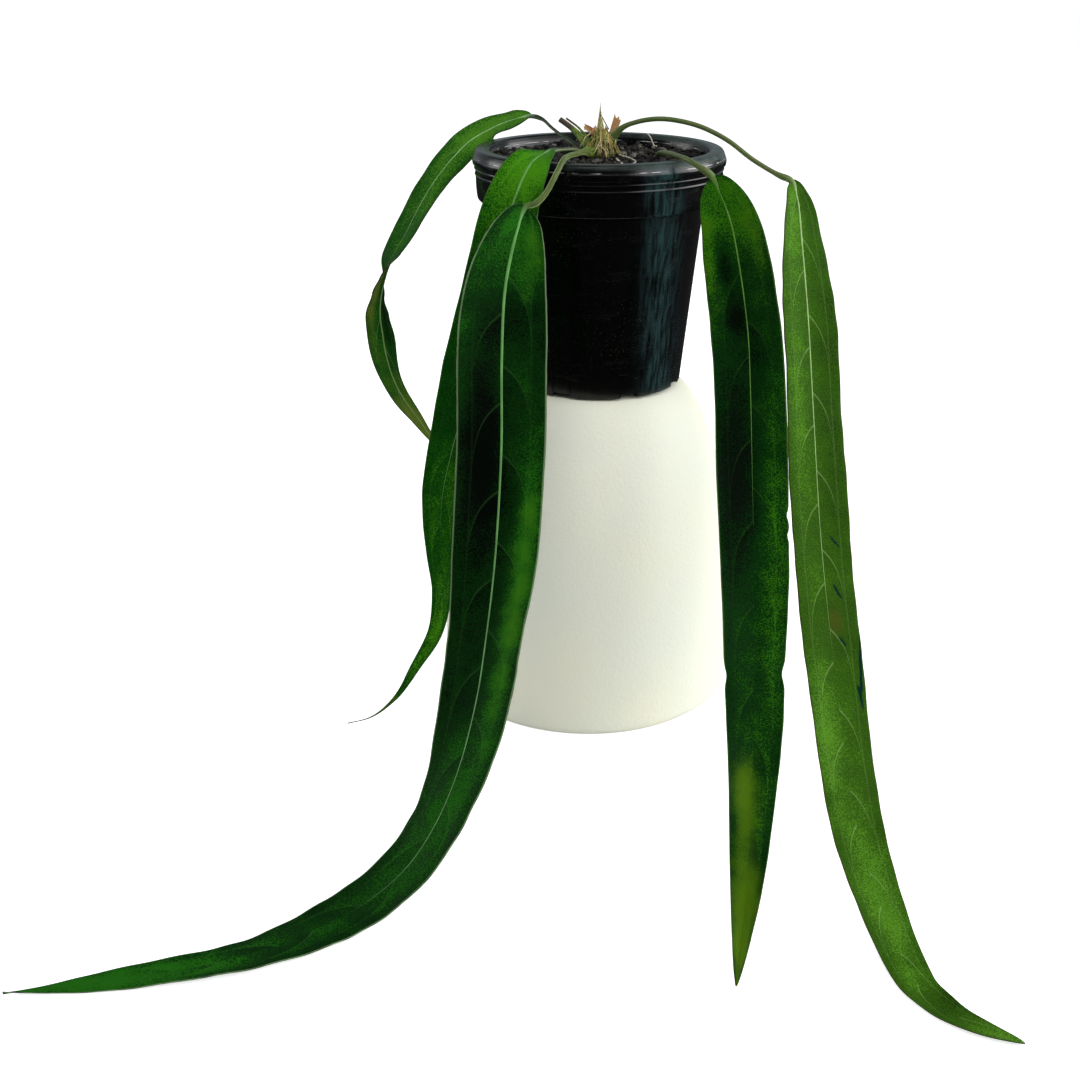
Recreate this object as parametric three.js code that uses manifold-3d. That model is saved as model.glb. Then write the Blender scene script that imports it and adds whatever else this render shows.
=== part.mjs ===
// Potted Anthurium pallidiflorum: five strap leaves hang from a black nursery pot that stands on
// an upturned cream planter. Millimetres, Z up. Every piece is laid out from the pot's axis and the
// surface the planter stands on; the finished group is then moved so that its origin is the middle
// of the bounding box, at the bottom.

import * as THREE from 'three';
import { mergeVertices } from 'three/addons/utils/BufferGeometryUtils.js';
import Module from 'manifold-3d';

const wasm = await Module();
wasm.setup();

// Driving dimensions

const CLEARANCE = 0.3;
const ROUND_SEGMENTS = 36;

// Outlines are [radius, height] pairs

const STAND = {
  height: 213,
  wall: 7,
  topThickness: 8,
  offsetX: -4,
  shoulder: [[52, 213], [58, 211.8], [64, 206]],
  side: [
    [70, 197.5], [76, 184.5], [81.5, 170.5], [87.5, 149], [92, 122], [95, 90], [96.6, 55], [97, 24], [97, 0],
  ],
};
const POT = {
  height: 143.2,
  wall: 1.6,
  footRadius: 54.2,
  footHeight: 2.4,
  footWidth: 6,
  floorThickness: 1.8,
  collarHeight: 31,
  collarRadius: 74.2,
  grooveRadius: 69.6,
  bodyTopRadius: 65,
  mouthRadius: 67.1,
  lipRadius: 75.5,
  beadRadius: 77.3,
  lipThickness: 3.4,
  drainHoles: 8,
  drainHoleRadius: 3.5,
  drainHoleCircle: 36,
  notch: { depth: 16, width: 11 },
};
const POT_BASE = STAND.height + CLEARANCE;
const RIM = POT_BASE + POT.height;

const MIX = { depthBelowRim: 6.5, lump: 1.4, rings: 8 };
const CROWN = { bottom: RIM - 18.5, coreRadius: 7.4, top: RIM + 4.5 };
const SHEATH = {
  thickness: 0.8,
  innerRadius: 7.9,
  outerRadius: 9.3,
  bottom: RIM - 12,
  cuffTop: RIM - 6.5,
  holeGap: 0.7,
};

const BLADE_THICKNESS = 1.1;
const BLADE_ACROSS = [-1, -0.56, -0.12, 0, 0.12, 0.56, 1];
const JOINT_LENGTH = 5;
const BLADE_START = [0, 1.5, 3.5, 6, 9.5, 14];
const BLADE_STEP = 14;
const PETIOLE_STEP = 9;
const RIB_DEPTH = { joint: 1.5, tip: 0.2 };
const SMALLEST_HALF_WIDTH = 0.4;
const FLOOR_CLEARANCE = 0.4;

// Each leaf is one growth: a round petiole that widens into a strap blade. Points run from the
// crown to the joint, and from the joint to the tip. A facing is a direction that the blade's upper
// side looks toward, at a share of the blade's length.

const LEAVES = [
  {
    name: 'leaf_back_left',
    petiole: [
      [-4.5, 4.5, 353], [-13, 6, 356.5], [-21.5, 13, 360.5], [-29.5, 22, 365], [-36, 30, 369.3],
      [-43, 34.5, 370.5],
    ],
    petioleRadius: { crown: 1.6, middle: 0.95, joint: 1.3 },
    blade: [
      [-56.5, 40, 367], [-69.5, 47, 361], [-82.5, 44, 354], [-90.5, 37, 347], [-98, 29.5, 339],
      [-105, 23.5, 330], [-112, 17.5, 319], [-122, 9, 300.5], [-128.5, 4.5, 290], [-132.5, 0.5, 281.5],
      [-135.5, -2, 272], [-137.5, -4.5, 262.5], [-138, -7, 252], [-136.5, -9, 240], [-134.5, -11, 227],
      [-130.5, -13, 213], [-124, -15, 200], [-115, -17, 187.5], [-108, -19, 177.5], [-100, -20, 166.5],
    ],
    facings: [
      [0, 0.12, -0.65, 0.8], [0.1, 0.12, -0.65, 0.85], [0.2, 0.1, -0.55, 0.9], [0.34, -0.4, -0.65, 0.45],
      [0.42, -0.65, -0.65, 0.15], [0.5, -0.8, -0.55, 0.1], [0.56, -1, -0.05, 0], [0.6, -1, 0.2, -0.05],
      [0.65, -0.85, 0.55, -0.15], [0.72, -0.65, 0.8, -0.2], [0.8, -0.8, 0.65, -0.15], [1, -0.8, 0.65, -0.15],
    ],
    halfWidth: 10.8,
    baseLength: 38,
    taper: { from: 0.58, power: 2, round: 0.9 },
    fold: [0.02, 0.2],
    wave: { height: 0.5, length: 95, phase: 0.4 },
  },
  {
    name: 'leaf_front_left',
    petiole: [
      [-3.5, -6.5, 352.5], [-8, -15, 355.5], [-13, -40, 358], [-17.5, -62, 359.7], [-20, -76, 359.4],
      [-23.5, -85, 353.5], [-29.5, -90, 343], [-35, -91.5, 338], [-40, -91.5, 336.5],
    ],
    petioleRadius: { crown: 2.5, middle: 1.5, joint: 1.6 },
    blade: [
      [-44.5, -97.5, 325], [-51, -106, 295], [-52.8, -116.5, 256], [-52.6, -131, 207], [-55.5, -156, 146],
      [-59.8, -180, 105.6], [-63.2, -198, 83.5], [-71, -225, 56], [-82, -249, 35], [-96, -266, 19],
      [-114, -280, 8], [-132.5, -293, 3.4], [-151, -307, 2.6], [-174, -321, 2.4], [-210, -334, 2.3],
      [-248, -343.5, 2.1], [-284, -350.5, 1.6],
    ],
    facings: [
      [0, 0.3, -1, 0.45], [0.15, 0.1, -1, 0.45], [0.3, -0.05, -1, 0.4], [0.42, -0.4, -0.85, 0.45],
      [0.57, -0.55, -0.45, 0.7], [0.7, -0.15, -0.1, 1], [1, 0, 0, 1],
    ],
    halfWidth: 25.3,
    baseLength: 82,
    taper: { from: 0.2, power: 2.1, round: 0.9 },
    fold: [0.22, 0.04],
    wave: { height: 1.3, length: 120, phase: 0 },
  },
  {
    name: 'leaf_middle_left',
    petiole: [[-7.2, -0.5, 352.5], [-13, -15, 356.5], [-19.5, -36, 359.8], [-28, -53.5, 361]],
    petioleRadius: { crown: 1.5, middle: 1.3, joint: 1.6 },
    blade: [
      [-33.5, -65, 360], [-37.4, -71.5, 357.7], [-40.5, -76.5, 353.5], [-44.7, -79.5, 344.5], [-49.4, -81.5, 331],
      [-55, -83, 305], [-61.5, -86, 277], [-70, -88, 245], [-82.5, -90, 201], [-91, -92, 165],
      [-93.5, -93, 128], [-93, -94, 100], [-98, -95, 72], [-112, -95, 46], [-126, -94, 23], [-142, -92.5, 8],
      [-158, -91, 1.8],
    ],
    facings: [
      [0, -0.3, -0.4, 0.85], [0.08, -0.15, -0.8, 0.6], [0.15, -0.1, -0.95, 0.4], [0.3, -0.15, -1, 0.3],
      [0.7, -0.25, -1, 0.2], [1, -0.3, -0.8, 0.5],
    ],
    halfWidth: 18.5,
    baseLength: 94,
    taper: { from: 0.35, power: 1.2, round: 1.5 },
    fold: [0.18, 0.14],
    wave: { height: 1.2, length: 105, phase: 1.2 },
  },
  {
    name: 'leaf_front_right',
    petiole: [
      [35, 6, 345], [35.5, 2, 350.5], [37, -12, 355], [41, -33, 357.5], [45.5, -52, 358.6],
      [50, -64, 358.4], [54.5, -69, 356.5], [59.5, -70.5, 353.5], [64, -70.5, 350],
    ],
    petioleRadius: { crown: 1.8, middle: 1.5, joint: 1.9 },
    blade: [
      [68.5, -76, 341.5], [74.5, -83, 327.5], [80, -91, 304], [85.5, -104, 269.5], [87.2, -114, 245],
      [88.7, -134, 204], [90, -166, 147.5], [89.6, -193, 110], [89, -214, 86], [86.8, -243, 57.5],
      [83.2, -273, 34], [78.4, -304, 14.2], [73.8, -331, 1.7],
    ],
    facings: [
      [0, -0.75, -1, 0.45], [0.16, -0.45, -1, 0.4], [0.35, -0.15, -1, 0.4], [0.5, 0.05, -1, 0.4],
      [1, 0, -0.7, 0.7],
    ],
    halfWidth: 20,
    baseLength: 60,
    taper: { from: 0.33, power: 1.9, round: 0.75 },
    fold: [0.24, 0.18],
    wave: { height: 1.4, length: 84, phase: 2.1 },
  },
  {
    name: 'leaf_far_right',
    petiole: [
      [4.8, -1, 352.5], [8, -2.5, 362], [14, -4, 368.6], [23, -4, 372], [34.5, -5, 373.8], [46, -5, 373],
      [61, -6, 369.4], [77, -8, 361.9], [92.5, -10, 351], [108.5, -12, 342.2], [116, -12.5, 339],
    ],
    petioleRadius: { crown: 3, middle: 1.45, joint: 1.8 },
    blade: [
      [119.3, -20, 330], [122, -35, 305], [125.6, -57, 265.7], [128.7, -87, 214], [132.5, -126, 151.4],
      [137.3, -169, 98.3], [141, -211, 59], [145.5, -251, 30], [154.5, -295, 10], [160, -317, 3.6],
      [164.5, -331, 2.2], [179, -350, 1.9], [205, -364.5, 1.6],
    ],
    facings: [[0, 0.5, -1, 0.4], [0.5, 0.2, -1, 0.5], [0.8, 0.1, -0.75, 0.8], [0.9, 0, 0, 1], [1, 0, 0, 1]],
    halfWidth: 17.6,
    baseLength: 100,
    taper: { from: 0.35, power: 1.9, round: 0.5 },
    fold: [0.14, 0.06],
    wave: { height: 0.9, length: 100, phase: 0.9 },
  },
];

const STUBS = [
  { points: [[-3, 1, 352], [-8, 4, 358], [-16, 10, 365.5], [-24.3, 14, 371]], base: 3.4, end: 1.9 },
  { points: [[-2, 3, 353], [-6, 7, 359], [-12.5, 13, 366], [-19, 18, 370.5]], base: 2.8, end: 1.6 },
];

const SHEATHS = [
  { angle: -108, tip: [-3, -11, 364], halfWidth: 4.4 },
  { angle: -62, tip: [3.5, -10.5, 367], halfWidth: 4.2 },
  { angle: -14, tip: [12, -6, 366], halfWidth: 3.6 },
  { angle: 38, tip: [14.5, 7, 375], halfWidth: 3.8 },
  { angle: 100, tip: [-2, 12, 368.5], halfWidth: 4.2 },
  { angle: 150, tip: [-12.5, 8.5, 366.5], halfWidth: 3.4 },
];

const SPEAR = {
  points: [[1.2, 0.6, 361.4], [0.8, 0.8, 368], [0.4, 1, 376], [0.3, 1, 382.5]],
  radii: [2.7, 2.5, 1.3, 0.2],
};

// The last number of each point is its height above the mix

const DRY_ROOTS = [
  {
    name: 'dry_root_front',
    radius: 0.6,
    route: [[10.5, -10, 1], [12, -24, 1], [14, -40, 1], [16, -54, 1.4], [17, -63.5, 3.4]],
  },
  {
    name: 'dry_root_side',
    radius: 0.5,
    route: [[12, -4, 1.2], [17.5, -10, 1.3], [22, -20, 1.3], [20, -31, 1.6]],
  },
  {
    name: 'dry_root_back',
    radius: 0.5,
    route: [[37, 46, 1], [35.5, 46, 2], [32.5, 45.5, 6], [30.5, 45, 9]],
  },
];

// Materials

function material(color, roughness, options = {}) {
  return new THREE.MeshStandardMaterial({ color, roughness, metalness: 0, ...options });
}

const MATERIALS = {
  stand: material(0xe9e6da, 0.75),
  pot: material(0x08090b, 0.22),
  mix: material(0x231a14, 0.95),
  crown: material(0x5d6f2b, 0.6),
  sheath: material(0xb59863, 0.85),
  spear: material(0x6c7a37, 0.55),
  root: material(0xd9cfb8, 0.8),
  leaf_back_left: material(0x1f5c17, 0.55),
  leaf_front_left: material(0x0b3310, 0.5),
  leaf_middle_left: material(0x155016, 0.55),
  leaf_front_right: material(0x0a3510, 0.5),
  leaf_far_right: material(0x2f5c1a, 0.5),
};

// Solids

function toSolid(geometry) {
  const bare = geometry.clone();
  bare.deleteAttribute('normal');
  bare.deleteAttribute('uv');
  const merged = mergeVertices(bare, 1e-4);
  return new wasm.Manifold(new wasm.Mesh({
    numProp: 3,
    vertProperties: new Float32Array(merged.attributes.position.array),
    triVerts: new Uint32Array(merged.index.array),
  }));
}

function largestBody(solid) {
  return solid.decompose().reduce((best, body) => (body.volume() > best.volume() ? body : best));
}

function toGeometry(solid) {
  const { vertProperties, triVerts, numProp } = solid.getMesh();
  const geometry = new THREE.BufferGeometry();
  const count = vertProperties.length / numProp;
  const positions = new Float32Array(count * 3);
  for (let i = 0; i < count; i++) {
    positions.set(vertProperties.subarray(i * numProp, i * numProp + 3), i * 3);
  }
  geometry.setAttribute('position', new THREE.BufferAttribute(positions, 3));
  geometry.setIndex(new THREE.BufferAttribute(new Uint32Array(triVerts), 1));
  geometry.computeVertexNormals();
  return geometry;
}

function namedMesh(name, geometry, surface) {
  const mesh = new THREE.Mesh(geometry, surface);
  mesh.name = name;
  return mesh;
}

// A lathe round the Z axis, from [radius, height] pairs that start and end on the axis

function lathe(profile, segments = ROUND_SEGMENTS) {
  const geometry = new THREE.LatheGeometry(profile.map(([r, z]) => new THREE.Vector2(r, z)), segments);
  return geometry.rotateX(Math.PI / 2);
}

function latheSolid(profile, segments) {
  const solid = toSolid(lathe(profile, segments));
  return solid.volume() > 0 ? solid : toSolid(flipped(lathe(profile, segments)));
}

function flipped(geometry) {
  const order = geometry.index.array;
  for (let i = 0; i < order.length; i += 3) {
    [order[i + 1], order[i + 2]] = [order[i + 2], order[i + 1]];
  }
  return geometry;
}

// Lofts: rings of equal length, the first half of a ring on the upper side and the second half on
// the lower side in reverse, so that both sides are split into triangles alike

function closedLoft(rings) {
  const size = rings[0].length;
  const half = size / 2;
  const index = [];
  for (let i = 0; i + 1 < rings.length; i++) {
    for (let j = 0; j < size; j++) {
      const next = (j + 1) % size;
      const [a, b, c, d] = [i * size + j, i * size + next, (i + 1) * size + j, (i + 1) * size + next];
      index.push(...(j < half ? [a, c, b, b, c, d] : [a, c, d, a, d, b]));
    }
  }
  for (const [start, outward] of [[0, 1], [(rings.length - 1) * size, -1]]) {
    for (let j = 0; j + 1 < half; j++) {
      const [a, b, c, d] = [start + j, start + j + 1, start + size - 1 - j, start + size - 2 - j];
      index.push(...(outward > 0 ? [a, b, c, b, d, c] : [a, c, b, b, c, d]));
    }
  }
  const geometry = new THREE.BufferGeometry();
  const positions = rings.flat().flatMap((point) => point.toArray());
  geometry.setAttribute('position', new THREE.Float32BufferAttribute(positions, 3));
  geometry.setIndex(index);
  return signedVolume(geometry) < 0 ? flipped(geometry) : geometry;
}

function signedVolume(geometry) {
  const [a, b, c] = [new THREE.Vector3(), new THREE.Vector3(), new THREE.Vector3()];
  const { position } = geometry.attributes;
  let volume = 0;
  for (let i = 0; i < geometry.index.count; i += 3) {
    a.fromBufferAttribute(position, geometry.index.getX(i));
    b.fromBufferAttribute(position, geometry.index.getX(i + 1));
    c.fromBufferAttribute(position, geometry.index.getX(i + 2));
    volume += a.dot(b.cross(c)) / 6;
  }
  return volume;
}

function vectors(points) {
  return points.map((p) => new THREE.Vector3(...p));
}

function smoothstep(low, high, value) {
  return THREE.MathUtils.smoothstep(value, low, high);
}

function frameAt(curve, share, facing) {
  const centre = curve.getPointAt(share);
  const tangent = curve.getTangentAt(share);
  const up = facing.clone().addScaledVector(tangent, -facing.dot(tangent)).normalize();
  const side = new THREE.Vector3().crossVectors(up, tangent);
  return { centre, up, side };
}

function roundRing({ centre, up, side }, radius, size) {
  return Array.from({ length: size }, (_, j) => {
    const angle = Math.PI - ((j + 0.5) / size) * 2 * Math.PI;
    return centre.clone()
      .addScaledVector(side, radius * Math.cos(angle))
      .addScaledVector(up, radius * Math.sin(angle));
  });
}

function taperedRod(points, radiusAt, stations, size = 8) {
  const curve = new THREE.CatmullRomCurve3(vectors(points), false, 'centripetal');
  const facing = new THREE.Vector3(0.3, 1, 0.1);
  const rings = [];
  for (let i = 0; i <= stations; i++) {
    const share = i / stations;
    rings.push(roundRing(frameAt(curve, share, facing), radiusAt(share), size));
  }
  return closedLoft(rings);
}

// Leaves

function facingAt(facings, share) {
  const after = Math.max(1, facings.findIndex(([at]) => at >= share));
  const [from, ...a] = facings[after - 1];
  const [to, ...b] = facings[after];
  const blend = smoothstep(from, to, share);
  return new THREE.Vector3(...a).lerp(new THREE.Vector3(...b), blend).normalize();
}

function halfWidthAt(leaf, distance, length) {
  const base = Math.min(distance / leaf.baseLength, 1);
  const rounded = Math.sqrt(1 - (1 - base) ** 2);
  const { from, power, round } = leaf.taper;
  const toTip = THREE.MathUtils.clamp((distance / length - from) / (1 - from), 0, 1);
  return Math.max(SMALLEST_HALF_WIDTH, leaf.halfWidth * rounded * (1 - toTip ** power) ** round);
}

function petioleRadiusAt(leaf, distance, length) {
  const { crown, middle, joint } = leaf.petioleRadius;
  const fromCrown = THREE.MathUtils.lerp(crown, middle, smoothstep(0, 26, distance));
  return THREE.MathUtils.lerp(fromCrown, joint, smoothstep(length - 14, length - 3, distance));
}

function bladeRing(leaf, frame, distance, length) {
  const { centre, up, side } = frame;
  const width = halfWidthAt(leaf, distance, length);
  const ribDepth = THREE.MathUtils.lerp(RIB_DEPTH.joint, RIB_DEPTH.tip, distance / length);
  const fold = THREE.MathUtils.lerp(...leaf.fold, smoothstep(0.1, 0.6, distance / length));
  const surface = (across) => {
    const turn = (distance / leaf.wave.length) * 2 * Math.PI + leaf.wave.phase + Math.sign(across);
    const rise = fold * width * Math.abs(across) ** 1.3 + leaf.wave.height * across ** 2 * Math.sin(turn);
    const point = centre.clone().addScaledVector(side, width * across).addScaledVector(up, rise);
    point.z = Math.max(point.z, FLOOR_CLEARANCE + BLADE_THICKNESS / 2 + (across === 0 ? ribDepth : 0));
    return point;
  };
  const upper = BLADE_ACROSS.map((s) => surface(s).addScaledVector(up, BLADE_THICKNESS / 2));
  const lower = BLADE_ACROSS.map((s) => {
    return surface(s).addScaledVector(up, -BLADE_THICKNESS / 2 - (s === 0 ? ribDepth : 0));
  });
  return [...upper, ...lower.reverse()];
}

function leafPath(leaf) {
  const points = vectors([...leaf.petiole, ...leaf.blade]);
  const curve = new THREE.CatmullRomCurve3(points, false, 'centripetal');
  curve.arcLengthDivisions = 1200;
  const total = curve.getLength();
  const lengths = curve.getLengths();
  const jointIndex = Math.round(((leaf.petiole.length - 1) / (points.length - 1)) * (lengths.length - 1));
  const joint = lengths[jointIndex];
  return { curve, total, joint };
}

function leafStations({ total, joint }) {
  const blade = total - joint;
  const stations = [];
  const petioleSteps = Math.ceil(joint / PETIOLE_STEP);
  for (let i = 0; i < petioleSteps; i++) stations.push((i / petioleSteps) * joint);
  stations.push(...BLADE_START.map((distance) => joint + distance));
  const first = BLADE_START.at(-1);
  const last = blade - CLEARANCE;
  const steps = Math.ceil((last - first) / BLADE_STEP);
  for (let i = 1; i <= steps; i++) stations.push(joint + first + ((last - first) * i) / steps);
  return stations;
}

function leafGeometry(leaf) {
  const path = leafPath(leaf);
  const size = BLADE_ACROSS.length * 2;
  const bladeLength = path.total - path.joint;
  const rings = leafStations(path).map((station) => {
    const distance = station - path.joint;
    const facing = facingAt(leaf.facings, THREE.MathUtils.clamp(distance / bladeLength, 0, 1));
    const frame = frameAt(path.curve, station / path.total, facing);
    const round = roundRing(frame, petioleRadiusAt(leaf, Math.min(station, path.joint), path.joint), size);
    if (distance <= 0) return round;
    const blend = smoothstep(0, JOINT_LENGTH, distance);
    return bladeRing(leaf, frame, distance, bladeLength).map((point, j) => round[j].lerp(point, blend));
  });
  return closedLoft(rings);
}

// The room that a petiole needs in what it grows from, with the usual clearance

function petioleSleeve(leaf, reach) {
  const path = leafPath(leaf);
  const facing = new THREE.Vector3(...leaf.facings[0].slice(1)).normalize();
  const stations = leafStations(path).filter((station) => station <= reach);
  const rings = stations.map((station, i) => {
    const frame = frameAt(path.curve, station / path.total, facing);
    if (i === 0) frame.centre.addScaledVector(path.curve.getTangentAt(0), -CLEARANCE);
    return roundRing(frame, petioleRadiusAt(leaf, station, path.joint) + CLEARANCE * 1.4, 10);
  });
  return toSolid(closedLoft(rings));
}

// Stand and pot

function standGeometry() {
  const { height, wall, topThickness, shoulder, side, offsetX } = STAND;
  const ceiling = height - topThickness;
  const inside = side.map(([r, z]) => [r - wall, Math.max(0, z - wall / 2)]).reverse();
  inside.push([shoulder[0][0] - wall, ceiling], [0, ceiling]);
  const shell = lathe([[0, height], ...shoulder, ...side, ...inside]);
  const turned = signedVolume(mergeVertices(shell)) < 0 ? flipped(shell) : shell;
  return turned.translate(offsetX, 0, 0);
}

function potOutline() {
  const { wall, footRadius, footHeight, footWidth, floorThickness, collarHeight } = POT;
  const { collarRadius, grooveRadius, bodyTopRadius, mouthRadius, lipRadius, beadRadius, lipThickness } = POT;
  const collar = RIM - collarHeight;
  const floor = POT_BASE + footHeight;
  const outside = [
    [0, floor], [footRadius - footWidth, floor], [footRadius - footWidth, POT_BASE], [footRadius, POT_BASE],
    [bodyTopRadius, collar - 1],
  ];
  const underCollar = [
    [mouthRadius + wall, RIM - lipThickness], [lipRadius - 1.4, RIM - lipThickness],
    [beadRadius - wall, RIM - 7], [beadRadius - 4.6, collar + 6], [grooveRadius, collar + 1.2],
    [grooveRadius, collar - 0.6],
  ];
  const collarFace = [
    [collarRadius - 2.6, collar], [collarRadius, collar + 3], [collarRadius + 1.4, collar + 9],
    [beadRadius, RIM - 8], [beadRadius, RIM - 4.5], [beadRadius - 0.6, RIM - 2.6], [lipRadius, RIM],
  ];
  const inside = [
    [mouthRadius, RIM], [bodyTopRadius - wall, collar], [footRadius - wall, floor + floorThickness],
    [0, floor + floorThickness],
  ];
  return [...outside, ...underCollar, ...collarFace, ...inside];
}

function potSolid() {
  const { footRadius, footHeight, drainHoles, drainHoleRadius, drainHoleCircle, notch } = POT;
  const shell = latheSolid(potOutline());
  const cutters = [];
  for (let i = 0; i < drainHoles; i++) {
    const angle = ((i + 0.5) / drainHoles) * 2 * Math.PI;
    const slot = new THREE.BoxGeometry(notch.depth, notch.width, footHeight * 2);
    slot.translate(footRadius, 0, POT_BASE);
    const hole = new THREE.CylinderGeometry(drainHoleRadius, drainHoleRadius, footHeight * 5, 8);
    hole.rotateX(Math.PI / 2).translate(drainHoleCircle, 0, POT_BASE + footHeight);
    cutters.push(toSolid(slot.rotateZ(angle)), toSolid(hole.rotateZ(angle)));
  }
  return cutters.reduce((solid, cutter) => solid.subtract(cutter), shell);
}

// Potting mix: chunks are raised by a sum of waves, so anything laid on it can ask for its height

function mixHeight(x, y) {
  const [bentX, bentY] = [0.55 * x + 1.3 * Math.sin(0.31 * y), 0.61 * y - 0.9 * Math.sin(0.27 * x)];
  const chunks = Math.sin(bentX) * Math.cos(bentY);
  const grit = 0.45 * Math.sin(1.21 * x + 0.4) * Math.sin(1.13 * y + 1.1);
  return RIM - MIX.depthBelowRim + MIX.lump * (chunks + grit);
}

function mixRadiusAt(z, floor, collar) {
  const { footRadius, wall, bodyTopRadius, mouthRadius, collarHeight } = POT;
  const { mapLinear } = THREE.MathUtils;
  const atCollar = bodyTopRadius - wall - CLEARANCE;
  const below = mapLinear(z, floor, collar, footRadius - wall - CLEARANCE, atCollar);
  const above = mapLinear(z, collar, collar + collarHeight, atCollar, mouthRadius - CLEARANCE);
  return z < collar ? below : above;
}

function circleOf(radius, heightAt) {
  return Array.from({ length: ROUND_SEGMENTS }, (_, j) => {
    const angle = (j / ROUND_SEGMENTS) * 2 * Math.PI;
    const [x, y] = [radius * Math.cos(angle), radius * Math.sin(angle)];
    return [x, y, heightAt(x, y)];
  });
}

function mixBlock() {
  const floor = POT_BASE + POT.footHeight + POT.floorThickness + CLEARANCE;
  const collar = RIM - POT.collarHeight;
  const edge = RIM - MIX.depthBelowRim - 1;
  const edgeRadius = mixRadiusAt(edge, floor, collar) - CLEARANCE / 2;
  const circles = Array.from({ length: MIX.rings - 1 }, (_, i) => {
    return circleOf((edgeRadius * (i + 1)) / MIX.rings, mixHeight);
  });
  for (const z of [edge, collar, floor]) circles.push(circleOf(mixRadiusAt(z, floor, collar), () => z));
  const points = [[0, 0, mixHeight(0, 0)], ...circles.flat(), [0, 0, floor]];
  const at = (row, j) => 1 + (row - 1) * ROUND_SEGMENTS + (j % ROUND_SEGMENTS);
  const index = [];
  for (let j = 0; j < ROUND_SEGMENTS; j++) {
    index.push(0, at(1, j), at(1, j + 1));
    for (let row = 1; row < circles.length; row++) {
      const [a, b, c, d] = [at(row, j), at(row + 1, j), at(row + 1, j + 1), at(row, j + 1)];
      index.push(a, b, c, a, c, d);
    }
    index.push(points.length - 1, at(circles.length, j + 1), at(circles.length, j));
  }
  const geometry = new THREE.BufferGeometry();
  geometry.setAttribute('position', new THREE.Float32BufferAttribute(points.flat(), 3));
  geometry.setIndex(index);
  return toSolid(geometry);
}

function crownHole() {
  const [crownRadius, sheathRadius] = [CROWN.coreRadius + CLEARANCE, SHEATH.outerRadius + SHEATH.holeGap];
  const [crownFloor, sheathFloor] = [CROWN.bottom - CLEARANCE, SHEATH.bottom - CLEARANCE];
  return latheSolid([
    [0, crownFloor], [crownRadius, crownFloor], [crownRadius, sheathFloor], [sheathRadius, sheathFloor],
    [sheathRadius, RIM], [0, RIM],
  ], 20);
}

function mixSolid() {
  const frontRight = LEAVES.find(({ name }) => name === 'leaf_front_right');
  return largestBody(mixBlock().subtract(crownHole()).subtract(petioleSleeve(frontRight, 30)));
}

// Crown: the short stem with two cut petioles, its papery sheaths and the rolled new leaf

function stubSolid({ points, base, end }, extra = 0) {
  const radiusAt = (share) => THREE.MathUtils.lerp(base, end, smoothstep(0, 0.8, share)) + extra;
  return toSolid(taperedRod(points, radiusAt, 5));
}

function crownSolid() {
  const { bottom, coreRadius, top } = CROWN;
  const core = latheSolid([
    [0, bottom], [coreRadius - 1.5, bottom], [coreRadius - 0.2, bottom + 3], [coreRadius, RIM - 4],
    [coreRadius - 1.2, RIM + 0.5], [coreRadius - 3, top - 0.8], [2.5, top], [0, top],
  ], 16);
  const grown = STUBS.reduce((solid, stub) => solid.add(stubSolid(stub)), core);
  return largestBody(cutForPetioles(grown, 20));
}

function cutForPetioles(solid, reach) {
  return LEAVES.reduce((rest, leaf) => rest.subtract(petioleSleeve(leaf, reach)), solid);
}

function sheathBlade({ angle, tip, halfWidth }) {
  const turn = THREE.MathUtils.degToRad(angle);
  const outward = new THREE.Vector3(Math.cos(turn), Math.sin(turn), 0);
  const radius = (SHEATH.innerRadius + SHEATH.outerRadius) / 2;
  const root = outward.clone().multiplyScalar(radius).setZ(SHEATH.bottom + 2);
  const shoulder = outward.clone().multiplyScalar(radius + 0.4).setZ(RIM + 1);
  const curve = new THREE.CatmullRomCurve3([root, shoulder, new THREE.Vector3(...tip)], false, 'centripetal');
  const rings = [];
  for (let i = 0; i <= 5; i++) {
    const share = i / 5;
    const { centre, up, side } = frameAt(curve, share, outward);
    const width = Math.max(0.35, halfWidth * (1 - share ** 2.2));
    const surface = (s) => {
      const curl = (-0.28 * (width * s) ** 2) / radius;
      return centre.clone().addScaledVector(side, width * s).addScaledVector(up, curl);
    };
    const across = [-1, -0.4, 0.4, 1];
    rings.push([
      ...across.map((s) => surface(s).addScaledVector(up, SHEATH.thickness / 2)),
      ...across.map((s) => surface(s).addScaledVector(up, -SHEATH.thickness / 2)).reverse(),
    ]);
  }
  return toSolid(closedLoft(rings));
}

function sheathSolid(crown) {
  const { innerRadius, outerRadius, bottom, cuffTop } = SHEATH;
  const cuff = latheSolid([[0, bottom], [outerRadius, bottom], [outerRadius, cuffTop], [0, cuffTop]], 20);
  const [under, over] = [bottom - 1, cuffTop + 1];
  const bore = latheSolid([[0, under], [innerRadius, under], [innerRadius, over], [0, over]], 20);
  const joined = SHEATHS.reduce((solid, sheath) => solid.add(sheathBlade(sheath)), cuff.subtract(bore));
  const open = cutForPetioles(joined, 34).subtract(crown);
  return largestBody(STUBS.reduce((solid, stub) => solid.subtract(stubSolid(stub, CLEARANCE)), open));
}

function spearGeometry() {
  const { points, radii } = SPEAR;
  const radiusAt = (share) => {
    const place = share * (radii.length - 1);
    const low = Math.min(Math.floor(place), radii.length - 2);
    return THREE.MathUtils.lerp(radii[low], radii[low + 1], place - low);
  };
  return taperedRod(points, radiusAt, 9, 8);
}

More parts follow.
